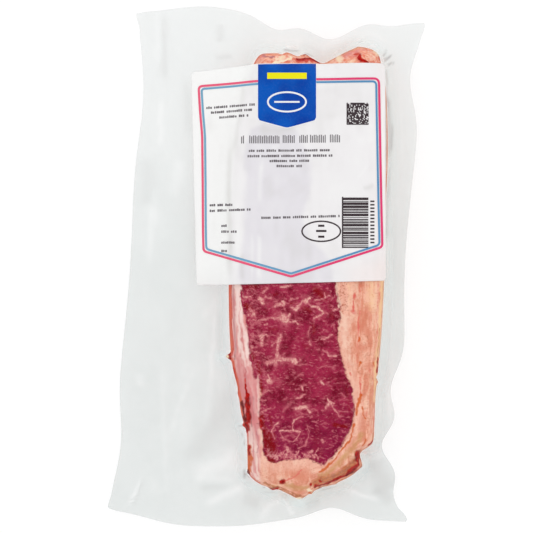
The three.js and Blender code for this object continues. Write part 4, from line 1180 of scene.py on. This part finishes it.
def rounded_line(corners, radii):
    """Places along an open line of corners, each rounded to its own radius."""
    corners = [np.array(corner, float) for corner in corners]
    line = [corners[0]]
    for before, corner, after, radius in zip(corners, corners[1:], corners[2:], radii[1:]):
        start = corner + (before - corner) / np.linalg.norm(before - corner) * radius
        end = corner + (after - corner) / np.linalg.norm(after - corner) * radius
        for t in np.linspace(0, 1, CORNER_STEPS):
            line.append((1 - t) ** 2 * start + 2 * t * (1 - t) * corner + t**2 * end)
    line.append(corners[-1])
    dense = []
    for a, b in zip(line, line[1:]):
        pieces = max(1, int(np.linalg.norm(b - a) / LINE_STEP))
        dense += [a + (b - a) * k / pieces for k in range(pieces)]
    return np.array(dense + [line[-1]])


def inset_corners(corners, inset):
    """Moves an anticlockwise line of corners inwards; its two end corners are dropped."""
    moved = []
    for before, corner, after in zip(corners, corners[1:], corners[2:]):
        sides = []
        for a, b in ((before, corner), (corner, after)):
            d = np.array(b, float) - np.array(a, float)
            sides.append(np.array([-d[1], d[0]]) / np.linalg.norm(d))
        way = sides[0] + sides[1]
        moved.append(np.array(corner) + way * inset / (1 + sides[0] @ sides[1]))
    return moved


def border_line(inset):
    """The border runs from the tab's left side, round the shield and back to its right side."""
    corners = inset_corners(BORDER, inset)
    start = (BORDER_START[0], BORDER_START[1] - inset)
    end = (BORDER_END[0], BORDER_END[1] - inset)
    radii = [0, 2.4 - inset * 0.4, 3, 3, 3, 3, 1.8, 1.0, 2.0, 3, 3, 3, 3.2 - inset * 0.5, 0]
    return rounded_line([start] + corners + [end], radii)


pink = Ink("label_border_outer", lift=BORDER_LIFT)
pink.ribbon(border_line(OUTER_LINE[0]), OUTER_LINE[1])
pink_border = pink.finish()
sky = Ink("label_border_inner", lift=BORDER_LIFT)
sky.ribbon(border_line(INNER_LINE[0]), INNER_LINE[1])
sky_border = sky.finish()


def tab_grid(ink, grow):
    """A field with straight sides and a rounded point below, grown by a rim."""
    west = TAB["west"] - grow
    east = TAB["east"] + grow
    middle = (TAB["west"] + TAB["east"]) / 2
    up, across = TAB_GRID
    share, column = np.meshgrid(np.linspace(0, 1, up), np.linspace(0, 1, across), indexing="ij")
    x = west + column * (east - west)
    half = middle - west
    to_middle = 1 - np.sqrt(((x - middle) / half) ** 2 + 0.002)
    low = TAB["shoulder"] - grow - to_middle * (TAB["shoulder"] - TAB["apex"])
    radius = TAB["radius"]
    from_side = np.clip(np.minimum(x - west, east - x) / radius, 0, 1)
    low += radius * (1 - np.sqrt(np.clip(1 - (1 - from_side) ** 2, 0, 1)))
    high = TAB["top"] + PRINT_SLOPE * (x - middle)
    ink.grid(x, low + share * (high - low))


tab_rim = Ink("label_tab_rim", lift=0.1)
tab_grid(tab_rim, TAB["rim"])
tab_rim_piece = tab_rim.finish()
tab = Ink("label_tab", lift=0.14)
tab_grid(tab, 0.0)
tab_piece = tab.finish()
tab_bar = Ink("label_tab_bar", lift=0.18)
tab_bar.bar(*TAB_BAR)
tab_bar_piece = tab_bar.finish()
tab_shape = Ink("label_tab_shape", lift=0.18)
tab_shape.oval(TAB_OVAL, 1.0)
tab_shape.bar(*TAB_DASH)
tab_shape_piece = tab_shape.finish()


def blocks(ink, west, east, foot_west, foot_east, seed):
    """A row of plain blocks in groups, along a line that may rise to the east."""
    width, height, gap = BLOCK_SIZE
    draw = np.random.default_rng(seed)
    x = west
    left_in_group = draw.integers(3, 10)
    while x + width <= east:
        foot = lerp(foot_west, foot_east, (x - west) / (east - west))
        ink.bar(x, foot, width * draw.uniform(0.8, 1.15), height * draw.uniform(0.85, 1.1))
        x += width + gap
        left_in_group -= 1
        if left_in_group == 0:
            x += 1.2 * width
            left_in_group = draw.integers(3, 10)


small_print = Ink("label_small_rows")
for row, (west, east, foot_west, foot_east) in enumerate(SMALL_ROWS):
    blocks(small_print, west, east, foot_west, foot_east, ROW_SEED + row)
small_piece = small_print.finish()

title = Ink("label_title")
for word, (west, east) in enumerate(TITLE_WORDS):
    for k in range(round((east - west) / TITLE["pitch"])):
        height = TITLE["height"] - TITLE["drop"] * (k % 3 == word % 3)
        title.bar(west + k * TITLE["pitch"], TITLE["foot"] + PRINT_SLOPE * west, TITLE["width"], height)
title_piece = title.finish()

codes = Ink("label_codes")


def code_bars(west, south, width, length):
    """Level bars of uneven thickness, one above the other."""
    draw = np.random.default_rng(BAR_SEED)
    y = south
    while y < south + length - 0.6:
        thick = draw.choice([0.4, 0.4, 0.75, 1.5])
        codes.bar(west, y, width, thick)
        y += thick + draw.choice([0.3, 0.35, 0.6])


def code_squares(west, south, side, cells):
    """A field of dark squares drawn at random, with a full left and lower side."""
    draw = np.random.default_rng(SQUARE_SEED)
    cell = side / cells
    codes.bar(west, south, 0.7, side)
    codes.bar(west, south, side, 0.7)
    for column in range(cells):
        row = 0
        while row < cells:
            run = 1
            if draw.uniform() < 0.62:
                while row + run < cells and draw.uniform() < 0.45:
                    run += 1
                codes.bar(west + column * cell, south + row * cell, cell, cell * run)
            row += run


code_bars(*BAR_FIELD)
codes.bar(*SIDE_BAR)
for tick in range(TICK_COUNT):
    codes.bar(TICK[0], TICK[1] + tick * TICK_PITCH, TICK[2], TICK[3])
code_squares(*SQUARES)
codes.oval(STAMP_OVAL, 0.85)
for south, width in STAMP_DASHES:
    codes.bar(STAMP_OVAL[0] - width / 2, south, width, STAMP_DASH_HEIGHT)
codes_piece = codes.finish()


# Materials

def srgb(red, green, blue):
    """A linear colour from three 8-bit values."""
    def channel(value):
        share = value / 255
        return share / 12.92 if share <= 0.04045 else ((share + 0.055) / 1.055) ** 2.4
    return (channel(red), channel(green), channel(blue), 1.0)


class Shader:
    """A material built up node by node; a value may be a plain number, a colour or another node's output."""

    def __init__(self, name):
        self.material = bpy.data.materials.new(name)
        self.material.use_nodes = True
        self.nodes = self.material.node_tree.nodes
        self.links = self.material.node_tree.links
        self.surface = self.nodes["Principled BSDF"]
        self.place = self.node("TexCoord", "Object")

    def feed(self, socket, value):
        if isinstance(value, bpy.types.NodeSocket):
            self.links.new(value, socket)
        else:
            socket.default_value = value

    def node(self, kind, output, inputs=None, **settings):
        """One output of a new node, whose inputs are given by name or number."""
        node = self.nodes.new("ShaderNode" + kind)
        for name, setting in settings.items():
            setattr(node, name, setting)
        for key, value in (inputs or {}).items():
            self.feed(node.inputs[key], value)
        return node.outputs[output]

    def set(self, **values):
        for name, value in values.items():
            self.feed(self.surface.inputs[name.replace("_", " ")], value)

    def mask(self, name):
        return self.node("Attribute", "Fac", attribute_name=name)

    def noise(self, size, detail=2.0, rough=0.5, stretch=None, warp=0.0):
        """Noise from 0 to 1 with bumps about size millimetres across."""
        place = self.place
        if stretch:
            place = self.node("Mapping", "Vector", {"Vector": place, "Scale": stretch})
        inputs = {"Vector": place, "Scale": 1000.0 / size, "Detail": detail}
        inputs |= {"Roughness": rough, "Distortion": warp}
        return self.node("TexNoise", "Fac", inputs)

    def east(self, low, high):
        """Share of the way from one place to another, both in millimetres east."""
        return self.span(self.node("SeparateXYZ", "X", {0: self.place}), low * MM, high * MM)

    def math(self, operation, a, b, clamp=False):
        return self.node("Math", 0, {0: a, 1: b}, operation=operation, use_clamp=clamp)

    def add(self, a, b, clamp=False):
        return self.math("ADD", a, b, clamp)

    def times(self, a, b, clamp=False):
        return self.math("MULTIPLY", a, b, clamp)

    def span(self, value, low, high, to_low=0.0, to_high=1.0):
        """A value eased from the range low to high into the range to_low to to_high."""
        inputs = {"Value": value, "From Min": low, "From Max": high, "To Min": to_low, "To Max": to_high}
        return self.node("MapRange", "Result", inputs, interpolation_type="SMOOTHSTEP")

    def mix(self, share, a, b):
        return self.node("Mix", 2, {0: share, 6: a, 7: b}, data_type="RGBA")

    def coats(self, colour, *layers):
        """Lays one colour after another over the first, each by its share."""
        for share, over in layers:
            colour = self.mix(share, colour, over if isinstance(over, bpy.types.NodeSocket) else srgb(*over))
        return colour

    def ragged(self, name, fine, low=0.25, high=0.9, amount=1.1):
        """A mask whose edge is broken up by noise."""
        shift = self.times(self.math("SUBTRACT", fine, 0.5), amount)
        return self.span(self.add(self.mask(name), shift), low, high)

    def bump(self, height, distance, strength):
        inputs = {"Height": height, "Distance": distance * MM, "Strength": strength}
        self.set(Normal=self.node("Bump", "Normal", inputs))


def lean_colour(s, broad, middle, fine, grain, speck):
    """Dark red muscle with darker grain, pale flecks and marbling."""
    fleck = s.noise(1.5, 2, 0.5, stretch=(0.62, 1.15, 1.0), warp=0.5)
    marble_core = s.mix(s.span(fine, 0.35, 0.65), srgb(220, 136, 138), srgb(242, 190, 174))
    return s.coats(
        s.mix(s.span(broad, 0.38, 0.62), srgb(122, 4, 38), srgb(162, 34, 70)),
        (s.span(middle, 0.42, 0.72, 0.0, 0.75), (176, 52, 82)),
        (s.span(grain, 0.30, 0.44, 0.5, 0.0), (108, 0, 30)),
        (s.span(speck, 0.30, 0.48, 0.45, 0.0), (104, 0, 28)),
        (s.times(s.mask("dusk"), 0.5), (130, 8, 60)),
        (s.span(fleck, 0.56, 0.70, 0.0, 0.75), (206, 108, 120)),
        # Dark red patches, and painted shadow under the label's lower edge
        (s.times(s.ragged("crimson_and_shadow", middle, 0.1, 0.8, 0.5), 0.88), (136, 2, 8)),
        (s.times(s.mask("left"), s.span(fine, 0.54, 0.66, 0.0, 0.35)), (212, 126, 130)),
        (s.ragged("marble", fine, 0.0, 0.65, 0.4), (196, 96, 110)),
        (s.ragged("marble", fine, 0.40, 1.15, 1.1), marble_core),
    )


def fat_colour(s, broad, middle, fine, grain, speck, streak):
    """Pink and cream fat with fibres, the pale strip on the left, and the golden, tan and lumpy parts."""
    fibre = s.mask("fibre")
    strip = s.coats(
        s.mix(s.span(streak, 0.40, 0.60), srgb(228, 150, 146), srgb(255, 218, 208)),
        (s.span(fibre, 0.15, 0.45, 0.55, 0.0), (216, 130, 130)),
        (s.times(s.mask("lower"), 0.7), (222, 140, 142)),
    )
    top = s.coats(
        s.mix(s.span(middle, 0.4, 0.6), srgb(238, 122, 94), srgb(255, 186, 156)),
        (s.span(speck, 0.51, 0.62, 0.0, 0.8), (255, 218, 200)),
    )
    return s.coats(
        s.mix(s.span(broad, 0.38, 0.62), srgb(234, 155, 130), srgb(252, 192, 167)),
        (s.span(streak, 0.52, 0.64, 0.0, 0.5), (254, 212, 186)),
        (s.span(streak, 0.38, 0.47, 0.5, 0.0), (222, 138, 110)),
        (s.span(fibre, 0.60, 0.85, 0.0, 0.5), (255, 212, 184)),
        (s.span(fibre, 0.15, 0.40, 0.55, 0.0), (218, 126, 98)),
        (s.span(grain, 0.54, 0.66, 0.0, 0.4), (208, 128, 96)),
        (s.times(s.mask("near_lean"), 0.4), (252, 200, 182)),
        (s.span(fine, 0.56, 0.70, 0.0, 0.4), (210, 116, 84)),
        (s.mask("strip"), strip),
        (s.ragged("gold", middle, 0.2, 1.1, 0.8), (253, 206, 156)),
        (s.times(s.ragged("tan", middle, 0.2, 1.0, 0.8), 0.8), (208, 150, 97)),
        (s.times(s.mask("dots"), s.span(speck, 0.52, 0.62, 0.0, 0.85)), (176, 88, 60)),
        (s.times(s.mask("top"), 0.8), top),
    )


def meat_material(name, roughness):
    """Lean and fat by their masks, and over them the silverskin, seams, rim, trimmings and juice; the rim and
    the foot's brown band are partly painted shade, pale and cream strokes partly painted glare and glints,
    and a crimson stroke painted shadow under the label.
    """
    s = Shader(name)
    broad = s.noise(9.0, 3, 0.55)
    middle = s.noise(2.6, 4, 0.6, warp=0.4)
    fine = s.noise(0.9, 3, 0.6)
    grain = s.noise(1.5, 3, 0.6, stretch=(1.0, 1.7, 1.0), warp=0.2)
    speck = s.noise(1.7, 3, 0.65, stretch=(1.0, 1.4, 1.0), warp=0.2)
    streak = s.noise(3.0, 4, 0.6, stretch=(1.0, 0.16, 1.0), warp=0.3)
    left = s.mask("left")
    # The pale coat is silverskin and fat, partly painted glare
    pale = s.mix(left, srgb(255, 214, 192), srgb(255, 226, 218))
    pale_share = s.mix(left, s.ragged("pale", middle), s.ragged("pale", streak))
    pale_share = s.times(pale_share, s.span(s.mask("lower"), 0.0, 1.0, 0.88, 0.5))
    edge = s.mix(left, srgb(206, 134, 92), srgb(224, 94, 62))
    brown_and_shade = s.mix(s.span(middle, 0.40, 0.58), srgb(158, 72, 36), srgb(206, 126, 80))
    blood = s.mix(s.span(middle, 0.38, 0.6), srgb(134, 0, 0), srgb(188, 6, 0))
    colour = s.coats(
        fat_colour(s, broad, middle, fine, grain, speck, streak),
        (s.ragged("lean", fine, 0.15, 0.85, 0.8), lean_colour(s, broad, middle, fine, grain, speck)),
        (s.times(s.ragged("mauve", streak, 0.2, 0.95, 0.9), 0.85), (172, 98, 112)),
        (pale_share, pale),
        (s.times(s.ragged("pink", streak, 0.25, 1.0, 1.4), 0.8), (226, 134, 134)),
        (s.ragged("rose", middle), (228, 112, 100)),
        # The rim's edge colour: partly its own orange-red and tan, partly painted shade towards the edge
        (s.times(s.mask("rim"), s.span(left, 0.0, 1.0, 0.5, 0.9)), edge),
        # Brown lines, and painted shade along the foot's rim
        (s.times(s.ragged("brown_and_shade", middle, 0.15, 0.85), 0.88), brown_and_shade),
        (s.times(s.ragged("amber", middle), 0.9), (212, 96, 34)),
        (s.times(s.ragged("red", middle, 0.2, 0.85, 0.5), 0.92), (208, 48, 30)),
        (s.ragged("blood", middle, 0.22, 0.85, 0.4), blood),
        (s.ragged("dark", middle, 0.2, 0.9, 0.5), (116, 0, 0)),
        # Cream scraps, and painted glints on the top lobes and the left bump
        (s.ragged("cream", fine), (255, 232, 200)),
    )
    s.set(Base_Color=colour, Roughness=roughness, Specular_IOR_Level=0.05)
    s.bump(s.add(s.times(fine, 0.5), middle), 0.25, 0.6)
    return s.material


def film_material():
    """Clear film: nearly unseen over the meat, and a pale haze beside it with painted highlights and painted
    shade along its folds, painted lighter near the steak and hazier towards the bottom.
    """
    s = Shader("vacuum_film")
    tone = s.mask("tone")
    cloud = s.noise(26.0, 4, 0.55)
    light = s.math("MAXIMUM", tone, 0.0)
    shade = s.math("MAXIMUM", s.times(tone, -1.0), 0.0)
    # Near the steak the film is painted lighter and cooler: painted light against the steak's shadow and its
    # red bounce
    plain = s.mix(s.mask("web"), srgb(204, 212, 210), srgb(224, 246, 247))
    # Painted highlight towards white on light tones, painted shade towards warm grey on dark ones
    colour = s.mix(light, plain, srgb(255, 255, 255))
    colour = s.mix(shade, colour, srgb(126, 112, 108))
    # Painted fall-off of the light: the haze thickens, so the film darkens over the floor, towards the bottom
    # of the pack
    haze = s.span(cloud, 0.3, 0.7, 0.205, 0.23)
    haze = s.times(haze, s.span(s.mask("painted_falloff"), 0.0, 0.5, 0.70, 1.0))
    haze = s.times(haze, s.add(s.times(s.mask("painted_falloff"), 0.16), 0.92))
    # More haze near the steak hides the shadowed, reddened floor under the painted lighter film
    haze = s.add(haze, s.times(s.mask("web"), 0.13))
    # Painted highlights clear the haze in the margin and thicken it near the steak; painted shade thickens it
    haze = s.add(haze, s.times(light, s.math("SUBTRACT", s.times(s.mask("web"), 0.3), 0.06)))
    haze = s.add(haze, s.times(shade, 0.14))
    alpha = s.add(s.times(haze, s.mask("margin")), 0.004)
    alpha = s.add(alpha, s.times(s.mask("veil"), 0.6), clamp=True)
    s.set(Base_Color=colour, Roughness=0.2, Specular_IOR_Level=0.18, Alpha=alpha)
    s.bump(s.noise(5.0, 2, 0.5), 0.2, 0.35)
    return s.material


def paper_material():
    """White paper, greyer over the steak and lilac where the lean shows through, with painted shade and
    painted highlights from its tone.
    """
    s = Shader("label_paper")
    fibre = s.noise(0.7, 3, 0.6)
    tone = s.mask("tone")
    colour = s.coats(
        srgb(255, 255, 254),
        (s.mask("over_steak"), (246, 244, 245)),
        (s.mask("lilac"), (235, 232, 237)),
        (s.mask("warm"), (250, 240, 238)),
        # Painted shade and painted highlight from the tone
        (s.times(tone, -0.55, clamp=True), (196, 194, 188)),
        (s.times(tone, 0.9, clamp=True), (254, 254, 253)),
    )
    s.set(Base_Color=colour, Roughness=0.42, Specular_IOR_Level=0.3)
    s.bump(s.add(fibre, s.noise(4.0, 2)), 0.04, 0.5)
    return s.material


def ink_material(name, west, east=None, roughness=0.45, cloudy=False):
    """Print whose colour may change from the label's west side to its east side, or in soft clouds."""
    s = Shader(name)
    colour = west
    if east:
        share = s.span(s.noise(26.0, 2), 0.42, 0.62) if cloudy else s.east(*PRINT_REACH)
        colour = s.mix(share, west, east)
    lighter = s.mix(0.02, colour, (1.0, 1.0, 1.0, 1.0))
    colour = s.mix(s.span(s.noise(1.2, 3, 0.6), 0.4, 0.8, 0.0, 0.6), colour, lighter)
    s.set(Base_Color=colour, Roughness=roughness, Specular_IOR_Level=0.1)
    return s.material


def dress(piece, material):
    piece.data.materials.clear()
    piece.data.materials.append(material)


dress(lean_piece, meat_material("beef_lean", 0.46))
dress(fat_piece, meat_material("beef_fat", 0.5))
dress(film, film_material())
dress(label, paper_material())
dress(pink_border, ink_material("ink_pink", srgb(242, 98, 130), srgb(234, 66, 120)))
dress(sky_border, ink_material("ink_sky", srgb(118, 172, 204), srgb(92, 150, 196)))
white_ink = ink_material("ink_white", srgb(246, 246, 248))
dress(tab_rim_piece, white_ink)
dress(tab_piece, ink_material("ink_blue", srgb(0, 64, 166), srgb(0, 88, 190), cloudy=True))
dress(tab_bar_piece, ink_material("ink_yellow", srgb(245, 235, 20)))
dress(tab_shape_piece, white_ink)
dress(small_piece, ink_material("ink_grey", srgb(112, 106, 110), roughness=0.6))
dress(title_piece, ink_material("ink_dim", srgb(96, 90, 96), roughness=0.6))
dress(codes_piece, ink_material("ink_dark", srgb(66, 56, 60), roughness=0.6))


# Floor, light and camera: lengths are in metres from here on.

FLOOR_HALF = 6.0
FLOOR_DROP = 0.0004
# Name, place, size and power of each lamp; all face the middle of the pack.
LIGHTS = (
    ("left_box", (-1.5, 0.1, 1.5), (2.3, 2.3), 10.0),
    ("right_box", (1.5, 0.1, 1.5), (2.3, 2.3), 10.0),
    ("far_box", (0.0, 1.7, 1.3), (2.6, 1.8), 11.9),
    ("near_box", (0.0, -1.8, 1.2), (2.4, 1.6), 7.4),
)
SKY_STRENGTH = 0.53
# The photograph looks straight down and its frame is 309 mm wide at the middle of the steak's height.
FRAME_WIDTH = 0.30914
CAMERA_DISTANCE = 3.0
MIDDLE_HEIGHT = 0.015
SENSOR = 36.0


def floor_piece():
    """A wide pale floor just under the pack."""
    half = FLOOR_HALF
    mesh = bpy.data.meshes.new("floor")
    corners = [(-half, -half, 0.0), (half, -half, 0.0), (half, half, 0.0), (-half, half, 0.0)]
    mesh.from_pydata(corners, [], [(0, 1, 2, 3)])
    piece = bpy.data.objects.new("floor", mesh)
    piece.location.z = -FLOOR_DROP
    bpy.context.scene.collection.objects.link(piece)
    s = Shader("floor_white")
    colour = s.mix(s.noise(400.0, 2), (0.36, 0.36, 0.36, 1.0), (0.38, 0.38, 0.38, 1.0))
    s.set(Base_Color=colour, Roughness=0.9, Specular_IOR_Level=0.0)
    s.set(Emission_Color=(1.0, 1.0, 1.0, 1.0), Emission_Strength=0.68)
    mesh.materials.append(s.material)


floor_piece()


def soft_light(name, place, size, power):
    """A rectangular lamp that faces the middle of the pack."""
    data = bpy.data.lights.new(name, "AREA")
    data.shape = "RECTANGLE"
    data.size, data.size_y = size
    data.energy = power
    lamp = bpy.data.objects.new(name, data)
    lamp.location = place
    tilt = math.acos(place[2] / np.linalg.norm(place))
    lamp.rotation_euler = (tilt, 0.0, math.atan2(place[1], place[0]) + math.pi / 2)
    bpy.context.scene.collection.objects.link(lamp)


for light in LIGHTS:
    soft_light(*light)

world = bpy.data.worlds.new("studio")
bpy.context.scene.world = world
world.use_nodes = True
background = world.node_tree.nodes["Background"]
background.inputs["Color"].default_value = (1.0, 1.0, 1.0, 1.0)
background.inputs["Strength"].default_value = SKY_STRENGTH

camera_data = bpy.data.cameras.new("camera")
camera_data.sensor_width = SENSOR
camera_data.lens = SENSOR * CAMERA_DISTANCE / FRAME_WIDTH
camera = bpy.data.objects.new("camera", camera_data)
camera.location = (0.0, 0.0, CAMERA_DISTANCE + MIDDLE_HEIGHT)
bpy.context.scene.collection.objects.link(camera)
bpy.context.scene.camera = camera
bpy.context.scene.view_settings.view_transform = "Standard"
